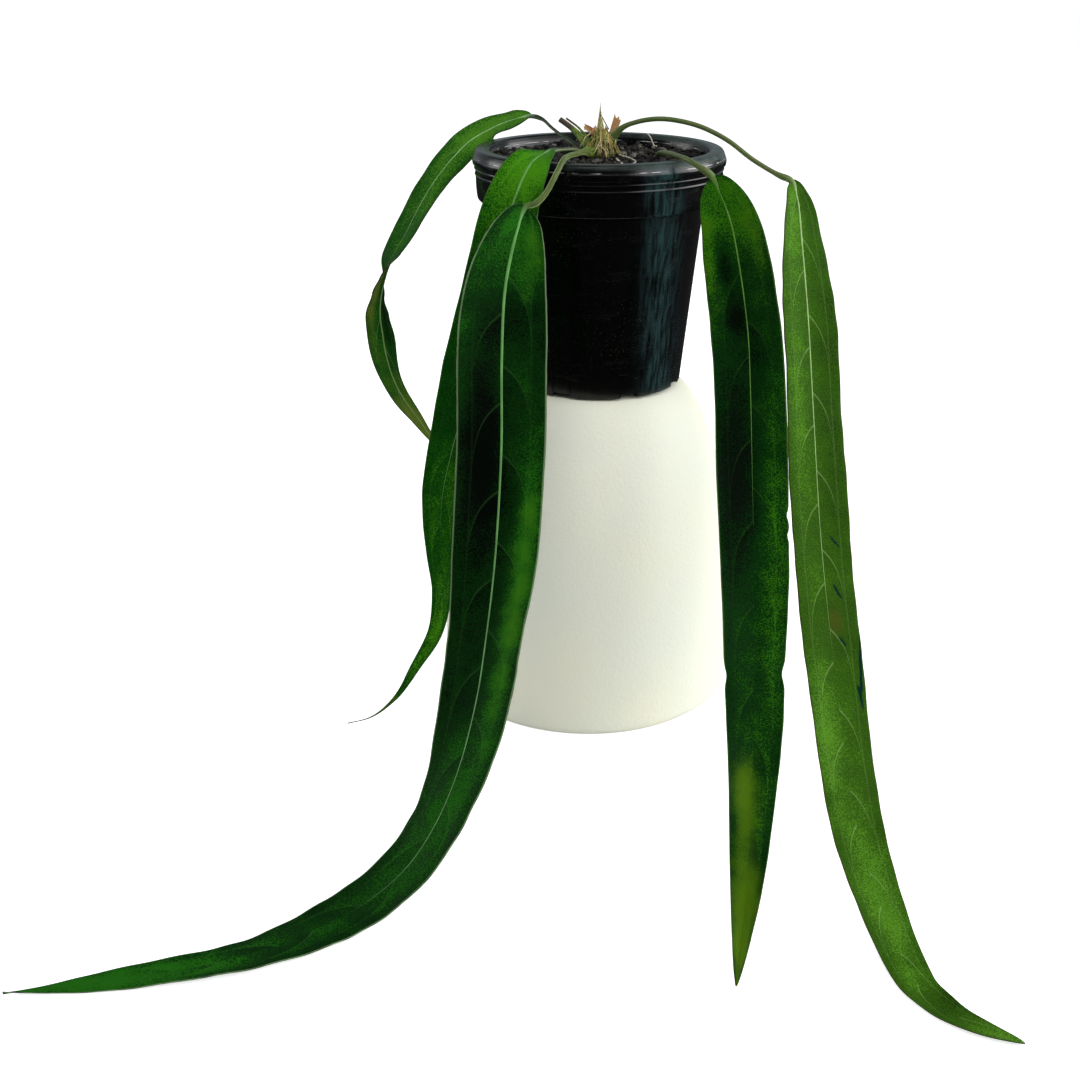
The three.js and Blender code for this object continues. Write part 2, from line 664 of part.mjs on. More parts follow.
function rootGeometry({ radius, route }) {
  const points = route.map(([x, y, above]) => new THREE.Vector3(x, y, mixHeight(x, y) + above + radius));
  const section = new THREE.Shape().absarc(0, 0, radius, 0, 2 * Math.PI);
  const path = new THREE.CatmullRomCurve3(points, false, 'centripetal');
  const options = { steps: 10, curveSegments: 3, bevelEnabled: false, extrudePath: path };
  return new THREE.ExtrudeGeometry(section, options);
}

// The whole object

function pottedPlant() {
  const plant = new THREE.Group();
  const crown = crownSolid();
  plant.add(
    namedMesh('stand_planter', standGeometry(), MATERIALS.stand),
    namedMesh('nursery_pot', toGeometry(potSolid()), MATERIALS.pot),
    namedMesh('potting_mix', toGeometry(mixSolid()), MATERIALS.mix),
    namedMesh('crown_stem', toGeometry(crown), MATERIALS.crown),
    namedMesh('crown_sheaths', toGeometry(sheathSolid(crown)), MATERIALS.sheath),
    namedMesh('new_leaf_spear', spearGeometry(), MATERIALS.spear),
    ...LEAVES.map((leaf) => namedMesh(leaf.name, leafGeometry(leaf), MATERIALS[leaf.name])),
    ...DRY_ROOTS.map((root) => namedMesh(root.name, rootGeometry(root), MATERIALS.root)),
  );
  const box = new THREE.Box3().setFromObject(plant);
  const middle = box.getCenter(new THREE.Vector3());
  plant.position.set(-middle.x, -middle.y, -box.min.z);
  return plant;
}

export default pottedPlant();
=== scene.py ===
"""Finished looks for a potted strap-leaf anthurium.

Five long leaves hang from a black nursery pot that stands on an upturned cream planter. All sizes
below are millimetres, measured from the pot's axis and from the surface under the planter; a Site
turns them into the frame's metres.
"""

from __future__ import annotations

import logging
import math
import random
from bisect import bisect_right
from collections.abc import Callable, Sequence
from dataclasses import dataclass, field
from enum import Enum

import bmesh
import bpy
from mathutils import Matrix, Vector, noise

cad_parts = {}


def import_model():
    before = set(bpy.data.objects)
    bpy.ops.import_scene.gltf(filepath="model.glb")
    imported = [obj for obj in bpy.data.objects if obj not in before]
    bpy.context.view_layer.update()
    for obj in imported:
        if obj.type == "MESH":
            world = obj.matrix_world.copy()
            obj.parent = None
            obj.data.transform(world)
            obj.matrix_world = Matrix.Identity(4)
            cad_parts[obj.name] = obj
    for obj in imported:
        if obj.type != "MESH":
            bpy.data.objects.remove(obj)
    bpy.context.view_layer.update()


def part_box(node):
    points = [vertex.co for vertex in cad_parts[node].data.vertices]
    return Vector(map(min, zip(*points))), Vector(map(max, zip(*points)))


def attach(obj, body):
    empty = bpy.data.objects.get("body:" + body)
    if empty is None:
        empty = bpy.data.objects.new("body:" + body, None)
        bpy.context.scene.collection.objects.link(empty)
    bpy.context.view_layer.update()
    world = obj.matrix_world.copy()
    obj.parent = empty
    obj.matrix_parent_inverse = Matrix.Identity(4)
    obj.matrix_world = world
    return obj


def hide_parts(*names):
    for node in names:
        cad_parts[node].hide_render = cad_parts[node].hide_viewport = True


LOG = logging.getLogger("potted_anthurium")

MM = 0.001
STAND_HEIGHT = 213.0
POT_BASE = STAND_HEIGHT + 0.3
RIM = 356.5
MIX_LEVEL = RIM - 6.5
MIX_LUMP = 1.4
FLOOR_GAP = 0.4

Pair = tuple[float, float]
Triple = tuple[float, float, float]
Outline = tuple[Pair, ...]
Points = tuple[Triple, ...]
Colour = tuple[float, float, float, float]
Placed = tuple[Vector, dict[str, float]]
Shape = Callable[[float, float], Placed]
Feeds = dict[str | int, object]


def linear(red: int, green: int, blue: int) -> Colour:
    """Turns an 8-bit screen colour into the linear colour that shaders use.

    Args:
        red: Red, 0 to 255.
        green: Green, 0 to 255.
        blue: Blue, 0 to 255.

    Returns:
        The linear colour with full alpha.
    """
    shares = (red / 255, green / 255, blue / 255)
    return (*(s / 12.92 if s <= 0.04045 else ((s + 0.055) / 1.055) ** 2.4 for s in shares), 1.0)


def smooth(low: float, high: float, value: float) -> float:
    """Eases from 0 at low to 1 at high."""
    share = min(1.0, max(0.0, (value - low) / (high - low)))
    return share * share * (3 - 2 * share)


def blend(first: float, second: float, share: float) -> float:
    """Returns the value at a share of the way from first to second."""
    return first + (second - first) * share


@dataclass(frozen=True)
class Site:
    """Where the pot's axis stands in the frame, in metres."""

    x: float
    y: float

    def place(self, point: Vector) -> Vector:
        """Turns a point in millimetres from the pot's axis into the frame's metres."""
        return Vector((self.x + point.x * MM, self.y + point.y * MM, point.z * MM))


class Path:
    """A smooth line through given points, read by the distance along it."""

    STEPS = 24

    def __init__(self, points: Sequence[Triple]) -> None:
        """Samples the line.

        Args:
            points: The points that it passes through, two or more.
        """
        knots = [Vector(p) for p in points]
        ends = [2 * knots[0] - knots[1], *knots, 2 * knots[-1] - knots[-2]]
        self.places: list[Vector] = []
        for four in zip(ends, ends[1:], ends[2:], ends[3:]):
            self.places += [self._between(*four, i / self.STEPS) for i in range(self.STEPS)]
        self.places.append(knots[-1])
        self.reach = [0.0]
        for a, b in zip(self.places, self.places[1:]):
            self.reach.append(self.reach[-1] + (b - a).length)

    @staticmethod
    def _between(p0: Vector, p1: Vector, p2: Vector, p3: Vector, t: float) -> Vector:
        """Finds a point on the stretch from p1 to p2.

        Args:
            p0: The point before the stretch.
            p1: Its start.
            p2: Its end.
            p3: The point after it.
            t: The share of the stretch that is passed, 0 to 1.

        Returns:
            The point.
        """
        d0, d1, d2 = (max(1e-4, (b - a).length) ** 0.5 for a, b in ((p0, p1), (p1, p2), (p2, p3)))
        m1 = ((p1 - p0) / d0 - (p2 - p0) / (d0 + d1) + (p2 - p1) / d1) * d1
        m2 = ((p2 - p1) / d1 - (p3 - p1) / (d1 + d2) + (p3 - p2) / d2) * d1
        step = p2 - p1
        return p1 + m1 * t + (3 * step - 2 * m1 - m2) * t * t + (m1 + m2 - 2 * step) * t**3

    @property
    def length(self) -> float:
        """The line's whole length."""
        return self.reach[-1]

    def knot_distance(self, index: int) -> float:
        """Returns the distance along the line at which one of its given points lies."""
        return self.reach[index * self.STEPS]

    def at(self, distance: float) -> Vector:
        """Finds the point at a distance along the line.

        Args:
            distance: The distance from the line's start.

        Returns:
            The point.
        """
        i = min(max(bisect_right(self.reach, distance) - 1, 0), len(self.places) - 2)
        span = self.reach[i + 1] - self.reach[i]
        return self.places[i].lerp(self.places[i + 1], (distance - self.reach[i]) / max(span, 1e-9))

    def direction(self, distance: float, reach: float = 0.6) -> Vector:
        """Returns the line's unit direction at a distance along it."""
        ahead = self.at(min(self.length, distance + reach))
        return (ahead - self.at(max(0.0, distance - reach))).normalized()


@dataclass(frozen=True)
class Section:
    """A cross-section's place and axes on a growing piece."""

    centre: Vector
    side: Vector
    up: Vector

    @classmethod
    def on(cls, path: Path, distance: float, facing: Vector) -> Section:
        """Builds the section of a path whose up axis looks toward a facing.

        Args:
            path: The line.
            distance: How far along it.
            facing: The direction that up leans to.

        Returns:
            The section.
        """
        along = path.direction(distance)
        up = (facing - along * facing.dot(along)).normalized()
        return cls(path.at(distance), up.cross(along), up)

    def point(self, x: float, y: float) -> Vector:
        """Returns the point at x along side and y along up."""
        return self.centre + self.side * x + self.up * y

    def round_point(self, radius: float, angle: float) -> Vector:
        """Returns the point on a circle round the centre, at an angle from side towards up."""
        return self.point(radius * math.cos(angle), radius * math.sin(angle))


# Shader nodes


class Graph:
    """Adds shader nodes to one tree and joins them."""

    def __init__(self, tree: bpy.types.NodeTree) -> None:
        """Keeps the tree."""
        self.tree = tree

    def node(self, kind: str, inputs: Feeds | None = None, **settings: object) -> bpy.types.Node:
        """Adds a node.

        Args:
            kind: The node's type.
            inputs: What goes into its sockets, by their names or numbers.
            **settings: The node's own properties, which are set first.

        Returns:
            The node.
        """
        made = self.tree.nodes.new(kind)
        for name, setting in settings.items():
            setattr(made, name, setting)
        for key, value in (inputs or {}).items():
            self.feed(made.inputs[key], value)
        return made

    def feed(self, socket: bpy.types.NodeSocket, value: object) -> None:
        """Fills an input socket.

        Args:
            socket: The input.
            value: The output socket to link to it, or its plain value.
        """
        if isinstance(value, bpy.types.NodeSocket):
            self.tree.links.new(value, socket)
        else:
            socket.default_value = value

    def attribute(self, name: str) -> bpy.types.NodeSocket:
        """Reads a number that the mesh carries at its vertices."""
        return self.node("ShaderNodeAttribute", attribute_name=name).outputs["Fac"]

    def place(self) -> bpy.types.NodeSocket:
        """Reads the point's place in the frame."""
        return self.node("ShaderNodeTexCoord").outputs["Object"]

    def split(self, vector: object) -> tuple[bpy.types.NodeSocket, ...]:
        """Takes a vector apart into x, y and z."""
        return tuple(self.node("ShaderNodeSeparateXYZ", {0: vector}).outputs)

    def math(self, operation: str, first: object, second: object = 0.0) -> bpy.types.NodeSocket:
        """Works out one sum."""
        return self.node("ShaderNodeMath", {0: first, 1: second}, operation=operation).outputs[0]

    def plus(self, first: object, second: object) -> bpy.types.NodeSocket:
        """Adds two numbers."""
        return self.math("ADD", first, second)

    def minus(self, first: object, second: object) -> bpy.types.NodeSocket:
        """Takes the second number from the first."""
        return self.math("SUBTRACT", first, second)

    def times(self, first: object, second: object) -> bpy.types.NodeSocket:
        """Multiplies two numbers."""
        return self.math("MULTIPLY", first, second)

    def remap(
        self, value: object, low: object, high: object, start: float = 0.0, end: float = 1.0
    ) -> bpy.types.NodeSocket:
        """Eases a value from start to end as it goes from low to high."""
        inputs = dict(enumerate((value, low, high, start, end)))
        return self.node("ShaderNodeMapRange", inputs, interpolation_type="SMOOTHSTEP").outputs[0]

    def noise(self, vector: object, scale: object, detail: float = 3.0) -> bpy.types.NodeSocket:
        """Reads soft noise, 0 to 1."""
        inputs = {"Vector": vector, "Scale": scale, "Detail": detail}
        return self.node("ShaderNodeTexNoise", inputs).outputs["Fac"]

    def cells(self, vector: object, scale: object) -> bpy.types.NodeSocket:
        """Reads the distance to the nearest of many scattered dots."""
        inputs = {"Vector": vector, "Scale": scale}
        return self.node("ShaderNodeTexVoronoi", inputs).outputs["Distance"]

    def stretched(self, vector: object, scale: Triple) -> bpy.types.NodeSocket:
        """Stretches coordinates along their axes."""
        return self.node("ShaderNodeMapping", {"Vector": vector, "Scale": scale}).outputs[0]

    def mix(self, factor: object, first: object, second: object) -> bpy.types.NodeSocket:
        """Mixes two colours, whose sockets are numbers 6, 7 and 2 of the node."""
        inputs = {0: factor, 6: first, 7: second}
        return self.node("ShaderNodeMix", inputs, data_type="RGBA").outputs[2]

    def bump(self, height: object, strength: float, distance: float) -> bpy.types.NodeSocket:
        """Turns a height into a normal; distance is in metres."""
        inputs = {"Height": height, "Strength": strength, "Distance": distance}
        return self.node("ShaderNodeBump", inputs).outputs[0]

    def use(self, tree: bpy.types.NodeTree, **inputs: object) -> bpy.types.Node:
        """Places a node group and feeds its inputs by name."""
        return self.node("ShaderNodeGroup", inputs, node_tree=tree)

    def surface(self, **inputs: object) -> None:
        """Ends a material in a Principled BSDF.

        Args:
            **inputs: What goes into its sockets, by their names with underscores for spaces.
        """
        named = {name.replace("_", " "): value for name, value in inputs.items()}
        shader = self.node("ShaderNodeBsdfPrincipled", named)
        self.node("ShaderNodeOutputMaterial", {0: shader.outputs[0]})


def new_material(name: str) -> tuple[bpy.types.Material, Graph]:
    """Makes an empty node material.

    Args:
        name: The material's name.

    Returns:
        The material, and the graph that fills it.
    """
    made = bpy.data.materials.new(name)
    made.use_nodes = True
    made.node_tree.nodes.clear()
    return made, Graph(made.node_tree)


@dataclass
class Group:
    """A shader node group whose outputs are numbers."""

    name: str
    inputs: dict[str, str]
    outputs: tuple[str, ...]
    tree: bpy.types.NodeTree = field(init=False)
    graph: Graph = field(init=False)
    given: bpy.types.NodeOutputs = field(init=False)

    def __post_init__(self) -> None:
        """Makes the empty group; inputs gives each one's socket type without its prefix."""
        self.tree = bpy.data.node_groups.new(self.name, "ShaderNodeTree")
        for title, kind in self.inputs.items():
            self.tree.interface.new_socket(title, in_out="INPUT", socket_type=f"NodeSocket{kind}")
        for title in self.outputs:
            self.tree.interface.new_socket(title, in_out="OUTPUT", socket_type="NodeSocketFloat")
        self.graph = Graph(self.tree)
        self.given = self.graph.node("NodeGroupInput").outputs

    def ended(self, **results: bpy.types.NodeSocket) -> bpy.types.NodeTree:
        """Feeds the outputs by name and returns the finished tree."""
        self.graph.node("NodeGroupOutput", results)
        return self.tree


class Effects:
    """The node groups that several finishes share, each built once."""

    VEIN_LAG = 0.21
    VEIN_ARCH = 0.011
    RING_WIDTH = 0.035
    SPECK_PATCHES = 26.0

    def __init__(self) -> None:
        """Builds the groups."""
        self.mottle = self._mottle()
        self.veins = self._veins()
        self.specks = self._specks()

    @staticmethod
    def _mottle() -> bpy.types.NodeTree:
        """Builds a soft cloudy shade with a fine grain over it.

        Returns:
            The group, whose Shade and Fine go from 0 to 1.
        """
        group = Group("mottle", {"Vector": "Vector", "Size": "Float", "Grain": "Float"}, ("Shade", "Fine"))
        graph, given = group.graph, group.given
        cloud = graph.noise(given["Vector"], given["Size"], 4.0)
        grain = graph.noise(given["Vector"], given["Grain"], 2.0)
        return group.ended(Shade=graph.remap(cloud, 0.3, 0.7), Fine=graph.remap(grain, 0.32, 0.68))

    @classmethod
    def _veins(cls) -> bpy.types.NodeTree:
        """Builds arched side veins, which start at other places on the left than on the right.

        Returns:
            The group. Line is the veins' mask, Cell tells how far a point is below the vein above
            it, and Ring is the mask of the long vein that joins their ends.
        """
        inputs = {name: "Float" for name in ("Across", "Along", "Spacing", "Reach", "Thin")}
        group = Group("side_veins", inputs, ("Line", "Cell", "Ring"))
        graph, given = group.graph, group.given
        out = graph.math("ABSOLUTE", given["Across"])
        lag = graph.times(graph.math("SIGN", given["Across"]), cls.VEIN_LAG)
        left = graph.minus(1.0, graph.math("DIVIDE", out, given["Reach"]))
        bend = graph.math("LOGARITHM", graph.math("MAXIMUM", left, 0.004), math.e)
        start = graph.plus(given["Along"], graph.times(bend, cls.VEIN_ARCH))
        cell = graph.math("FRACT", graph.plus(graph.math("DIVIDE", start, given["Spacing"]), lag))
        near = graph.math("MINIMUM", cell, graph.minus(1.0, cell))
        inside = graph.remap(out, graph.times(given["Reach"], 0.98), given["Reach"], 1.0, 0.0)
        line = graph.times(graph.remap(near, 0.0, given["Thin"], 1.0, 0.0), inside)
        gap = graph.math("ABSOLUTE", graph.minus(out, given["Reach"]))
        ring = graph.remap(gap, 0.0, cls.RING_WIDTH, 1.0, 0.0)
        return group.ended(Line=line, Cell=graph.times(cell, inside), Ring=ring)

    @classmethod
    def _specks(cls) -> bpy.types.NodeTree:
        """Builds small scattered specks that come and go in patches.

        Returns:
            The group, whose Mask goes from 0 to 1.
        """
        group = Group("specks", {"Vector": "Vector", "Size": "Float", "Amount": "Float"}, ("Mask",))
        graph, given = group.graph, group.given
        dots = graph.cells(given["Vector"], given["Size"])
        spot = graph.remap(dots, 0.0, given["Amount"], 1.0, 0.0)
        patch = graph.remap(graph.noise(given["Vector"], cls.SPECK_PATCHES, 3.0), 0.42, 0.62)
        return group.ended(Mask=graph.times(spot, patch))


# Finishes


@dataclass(frozen=True)
class BladeFinish:
    """The colours of one leaf, from its darkest green to its brightest; painted light and shade pick
    between them.
    """

    deep: Colour
    middle: Colour
    bright: Colour
    olive: Colour
    margin: Colour
    rib: Colour
    rib_tip: Colour
    vein: float = 0.3
    # How strongly each band between side veins is painted darker below its vein, as painted shade.
    cell: float = 0.5
    spacing: float = 0.047
    reach: float = 0.66
    thin: float = 0.026
    sunken: float = -0.55
    raised: float = 0.7
    scar: Colour = linear(3, 42, 34)
    ridge: Colour = linear(186, 204, 140)
    dry: Colour = linear(160, 130, 78)

    def upper(self, name: str, effects: Effects) -> bpy.types.Material:
        """Makes the upper side: velvety green with sunken veins and a thin margin.

        Args:
            name: The leaf's name.
            effects: The shared node groups.

        Returns:
            The material.
        """
        return self._side(f"{name}_upper", effects, self.vein, self.sunken)

    def lower(self, name: str, effects: Effects) -> bpy.types.Material:
        """Makes the underside, with the veins standing out of it."""
        return self._side(f"{name}_under", effects, self.vein + 0.12, self.raised)

    def _side(self, name: str, effects: Effects, vein: float, rise: float) -> bpy.types.Material:
        """Makes one side of the blade.

        Args:
            name: The material's name.
            effects: The shared node groups.
            vein: How strongly the veins' colour shows.
            rise: How far the veins stand out, negative where they are sunken.

        Returns:
            The material.
        """
        made, graph = new_material(name)
        across = graph.attribute("across")
        grown = graph.use(
            effects.veins,
            Across=across,
            Along=graph.attribute("along"),
            Spacing=self.spacing,
            Reach=self.reach,
            Thin=self.thin,
        ).outputs
        mottle = graph.use(effects.mottle, Vector=graph.place(), Size=70.0, Grain=1300.0).outputs
        uneven = graph.remap(graph.noise(graph.place(), 34.0, 2.0), 0.35, 0.65, 0.2, 1.0)
        # Painted shade: each band between side veins is darker just below its vein, where the quilted
        # blade is shaded.
        cell = graph.times(graph.times(graph.minus(grown["Cell"], 0.5), uneven), self.cell)
        cloud = graph.times(graph.minus(mottle["Shade"], 0.5), 0.3)
        fine = graph.times(graph.minus(mottle["Fine"], 0.5), 0.75)
        # The leaf's painted light and shade from its patches, plus the painted quilting shade and random
        # cloud and grain.
        tone = graph.plus(graph.plus(graph.attribute("tone"), graph.plus(cell, cloud)), fine)
        dark = graph.mix(graph.remap(tone, -1.0, 0.0), self.deep, self.middle)
        green = graph.mix(graph.remap(tone, 0.0, 1.0), dark, self.bright)
        patchy = graph.plus(graph.attribute("olive"), graph.times(cloud, 0.8))
        green = graph.mix(graph.remap(patchy, 0.12, 0.85), green, self.olive)
        lines = graph.math("MAXIMUM", grown["Line"], graph.times(grown["Ring"], 0.3))
        green = graph.mix(graph.times(lines, vein), green, self.rib)
        slit = graph.remap(graph.attribute("slit"), 0.35, 0.6)
        green = graph.mix(slit, green, self.scar)
        edge = graph.remap(graph.math("ABSOLUTE", across), 0.955, 0.985, 0.0, 0.7)
        green = graph.mix(edge, green, self.margin)
        relief = graph.plus(graph.times(lines, rise), graph.times(fine, 0.5))
        relief = graph.plus(relief, graph.times(cell, 0.8))
        graph.surface(
            Base_Color=green,
            Roughness=graph.remap(mottle["Shade"], 0.0, 1.0, 0.5, 0.68),
            Specular_IOR_Level=0.04,
            Normal=graph.bump(relief, 0.45, 0.0006),
        )
        return made

    def edge(self, name: str) -> bpy.types.Material:
        """Makes the thin hard margin.

        Args:
            name: The leaf's name.

        Returns:
            The material.
        """
        made, graph = new_material(f"{name}_edge")
        worn = graph.noise(graph.place(), 160.0, 3.0)
        graph.surface(
            Base_Color=graph.mix(graph.remap(worn, 0.4, 0.65), self.margin, self.middle),
            Roughness=graph.remap(worn, 0.3, 0.7, 0.5, 0.7),
            Specular_IOR_Level=0.3,
        )
        return made

    def stalk(self, name: str, petiole: Colour, effects: Effects) -> bpy.types.Material:
        """Makes the leaf stalk, which pales where it runs on as the midrib and carries painted highlight
        stripes along its sides.

        Args:
            name: The leaf's name.
            petiole: The stalk's colour between the crown and the blade.
            effects: The shared node groups.

        Returns:
            The material.
        """
        made, graph = new_material(f"{name}_stalk")
        mottle = graph.use(effects.mottle, Vector=graph.place(), Size=90.0, Grain=1500.0).outputs
        rib = graph.mix(graph.attribute("tip"), self.rib, self.rib_tip)
        green = graph.mix(graph.attribute("blade"), petiole, rib)
        green = graph.mix(graph.times(mottle["Shade"], 0.35), green, self.middle)
        # Painted highlight: pale stripes along the stalk's two sides.
        green = graph.mix(graph.attribute("ridge"), green, self.ridge)
        green = graph.mix(graph.attribute("dry"), green, self.dry)
        graph.surface(
            Base_Color=green,
            Roughness=graph.remap(mottle["Fine"], 0.0, 1.0, 0.34, 0.52),
            Specular_IOR_Level=0.45,
            Normal=graph.bump(mottle["Fine"], 0.25, 0.0003),
        )
        return made


@dataclass(frozen=True)
class PlasticFinish:
    """Moulded glossy black plastic with dust and a dull rim, with light painted on it: a painted
    reflection streak down its front, painted light on the rim's top and a painted highlight along the
    bead's edge.
    """

    body: Colour = linear(1, 1, 2)
    worn: Colour = linear(9, 13, 14)
    dust: Colour = linear(140, 132, 120)
    # Painted light: the grey-teal that lightens the rim's top.
    rim: Colour = linear(62, 74, 70)
    # Painted highlight: the pale line along the bead's edge.
    edge: Colour = linear(178, 180, 176)
    # Painted reflection of the key lamp: the hazy teal streak down the pot's front.
    painted_reflection: Colour = linear(40, 68, 68)
    reflection_x: float = 38.0
    reflection_half_width: float = 17.0
    dull_from: float = RIM - 3.2
    highlight_at: float = RIM - 4.3
    highlight_half_width: float = 0.4

    def material(self, name: str, effects: Effects, site: Site) -> bpy.types.Material:
        """Makes the material.

        Args:
            name: The material's name.
            effects: The shared node groups.
            site: Where the pot's axis stands.

        Returns:
            The material.
        """
        made, graph = new_material(name)
        place = graph.place()
        x, _, z = graph.split(place)
        specks = graph.use(effects.specks, Vector=place, Size=620.0, Amount=0.2)
        rubbed = graph.remap(graph.noise(graph.stretched(place, (1.0, 1.0, 4.0)), 60.0, 5.0), 0.5, 0.75)
        dusty = graph.times(specks.outputs["Mask"], 0.22)
        colour = graph.mix(graph.times(rubbed, 0.25), self.body, self.worn)
        # Painted reflection: mixes the hazy teal streak into the black.
        colour = graph.mix(self._painted_reflection(graph, place, site), colour, self.painted_reflection)
        # The rim's top is really duller (rougher, less specular), and its colour is painted light: lighter
        # grey-teal, more so towards the right where the key lamp stands.
        rim = graph.remap(z, self.dull_from * MM, (self.dull_from + 1) * MM)
        cloud = graph.noise(place, 120.0, 4.0)
        worn = graph.times(rim, graph.remap(cloud, 0.3, 0.7, 0.45, 1.0))
        # Painted light grows towards the right, the key lamp's side.
        worn = graph.times(worn, graph.remap(x, site.x - 20 * MM, site.x + 50 * MM, 0.2, 1.0))
        colour = graph.mix(worn, colour, self.rim)
        # Painted highlight: a thin pale line along the bead's edge, broken up by noise.
        off = graph.math("ABSOLUTE", graph.minus(z, self.highlight_at * MM))
        line = graph.remap(off, 0.0, self.highlight_half_width * MM, 1.0, 0.0)
        colour = graph.mix(graph.times(line, graph.remap(cloud, 0.46, 0.62)), colour, self.edge)
        rough = graph.plus(graph.remap(rubbed, 0.0, 1.0, 0.2, 0.34), dusty)
        graph.surface(
            Base_Color=graph.mix(dusty, colour, self.dust),
            Roughness=graph.plus(rough, graph.times(worn, 0.25)),
            Specular_IOR_Level=graph.remap(rim, 0.0, 1.0, 0.4, 0.14),
            Normal=graph.bump(graph.plus(graph.noise(place, 900.0, 2.0), dusty), 0.08, 0.0003),
        )
        return made

    def _painted_reflection(self, graph: Graph, place: object, site: Site) -> bpy.types.NodeSocket:
        """Makes the mask of the painted reflection, a hazy streak down the pot's front.

        Args:
            graph: The material's graph.
            place: The point's place in the frame.
            site: Where the pot's axis stands.

        Returns:
            The mask, 0 to 0.75.
        """
        x, y, _ = graph.split(place)
        off = graph.math("ABSOLUTE", graph.minus(x, site.x + self.reflection_x * MM))
        streak = graph.remap(off, 0.0, self.reflection_half_width * MM, 1.0, 0.0)
        front = graph.remap(y, site.y - 20 * MM, site.y, 1.0, 0.0)
        reflection_breakup = graph.noise(graph.stretched(place, (1.0, 1.0, 0.12)), 420.0, 4.0)
        streak = graph.times(graph.times(streak, front), graph.remap(reflection_breakup, 0.3, 0.7))
        return graph.times(streak, 0.75)


@dataclass(frozen=True)
class PlanterFinish:
    """Matt cream ceramic with a fine stipple and a few pin marks."""

    body: Colour = linear(238, 240, 224)
    warm: Colour = linear(243, 241, 220)
    mark: Colour = linear(120, 116, 108)

    def material(self, name: str, effects: Effects) -> bpy.types.Material:
        """Makes the material.

        Args:
            name: The material's name.
            effects: The shared node groups.

        Returns:
            The material.
        """
        made, graph = new_material(name)
        place = graph.place()
        mottle = graph.use(effects.mottle, Vector=place, Size=14.0, Grain=520.0).outputs
        specks = graph.use(effects.specks, Vector=place, Size=140.0, Amount=0.05)
        colour = graph.mix(mottle["Shade"], self.body, self.warm)
        colour = graph.mix(graph.times(specks.outputs["Mask"], 0.6), colour, self.mark)
        height = graph.plus(mottle["Fine"], graph.noise(place, 240.0, 4.0))
        graph.surface(
            Base_Color=colour,
            Roughness=graph.remap(mottle["Shade"], 0.0, 1.0, 0.62, 0.78),
            Specular_IOR_Level=0.3,
            Normal=graph.bump(height, 0.22, 0.0005),
        )
        return made


@dataclass(frozen=True)
class GrittyFinish:
    """Bark and peat: dark crumbs, some of them lighter."""

    dark: Colour = linear(12, 11, 10)
    brown: Colour = linear(64, 60, 54)
    pale: Colour = linear(126, 124, 116)

    def material(self, name: str, effects: Effects) -> bpy.types.Material:
        """Makes the material.

        Args:
            name: The material's name.
            effects: The shared node groups.

        Returns:
            The material.
        """
        made, graph = new_material(name)
        mottle = graph.use(effects.mottle, Vector=graph.place(), Size=230.0, Grain=1500.0).outputs
        shade = graph.plus(graph.attribute("shade"), graph.times(mottle["Shade"], 0.35))
        colour = graph.mix(graph.remap(shade, 0.1, 0.8), self.dark, self.brown)
        colour = graph.mix(graph.remap(shade, 0.85, 1.25), colour, self.pale)
        graph.surface(
            Base_Color=colour,
            Roughness=graph.remap(mottle["Fine"], 0.0, 1.0, 0.7, 0.95),
            Specular_IOR_Level=0.35,
            Normal=graph.bump(graph.plus(mottle["Fine"], mottle["Shade"]), 0.8, 0.0008),
        )
        return made


@dataclass(frozen=True)
class FibreFinish:
    """Dry plant tissue that is streaked along its length."""

    base: Colour
    streak: Colour
    stain: Colour
    rough: float = 0.75

    def material(self, name: str, effects: Effects) -> bpy.types.Material:
        """Makes the material.

        Args:
            name: The material's name.
            effects: The shared node groups.

        Returns:
            The material.
        """
        made, graph = new_material(name)
        place = graph.place()
        lines = graph.noise(graph.stretched(place, (9.0, 9.0, 1.0)), 160.0, 3.0)
        mottle = graph.use(effects.mottle, Vector=place, Size=210.0, Grain=1400.0).outputs
        colour = graph.mix(graph.remap(lines, 0.4, 0.62), self.base, self.streak)
        stain = graph.plus(graph.attribute("stain"), graph.times(mottle["Shade"], 0.3))
        colour = graph.mix(graph.remap(stain, 0.35, 0.9), colour, self.stain)
        graph.surface(
            Base_Color=colour,
            Roughness=graph.remap(mottle["Fine"], 0.0, 1.0, self.rough - 0.15, self.rough + 0.1),
            Specular_IOR_Level=0.35,
            Normal=graph.bump(graph.plus(lines, mottle["Fine"]), 0.5, 0.0004),
        )
        return made


# Meshes


def new_mesh(*layers: str) -> bmesh.types.BMesh:
    """Starts an empty mesh.

    Args:
        *layers: The names of the numbers that each vertex carries for materials to read.

    Returns:
        The mesh.
    """
    mesh = bmesh.new()
    for name in layers:
        mesh.verts.layers.float.new(name)
    return mesh


def add_sheet(
    mesh: bmesh.types.BMesh, rows: int, columns: int, shape: Shape
) -> list[bmesh.types.BMVert]:
    """Adds a grid and bends it to a shape.

    Args:
        mesh: The mesh that it joins.
        rows: How many faces it has along its length.
        columns: How many faces it has across.
        shape: Gives the place and the carried values at shares along and across.

    Returns:
        The grid's vertices.
    """
    made = bmesh.ops.create_grid(mesh, x_segments=rows, y_segments=columns, size=0.5)["verts"]
    for vert in made:
        place, values = shape(vert.co.x + 0.5, vert.co.y + 0.5)
        vert.co = place
        for name, value in values.items():
            vert[mesh.verts.layers.float[name]] = value
    return made


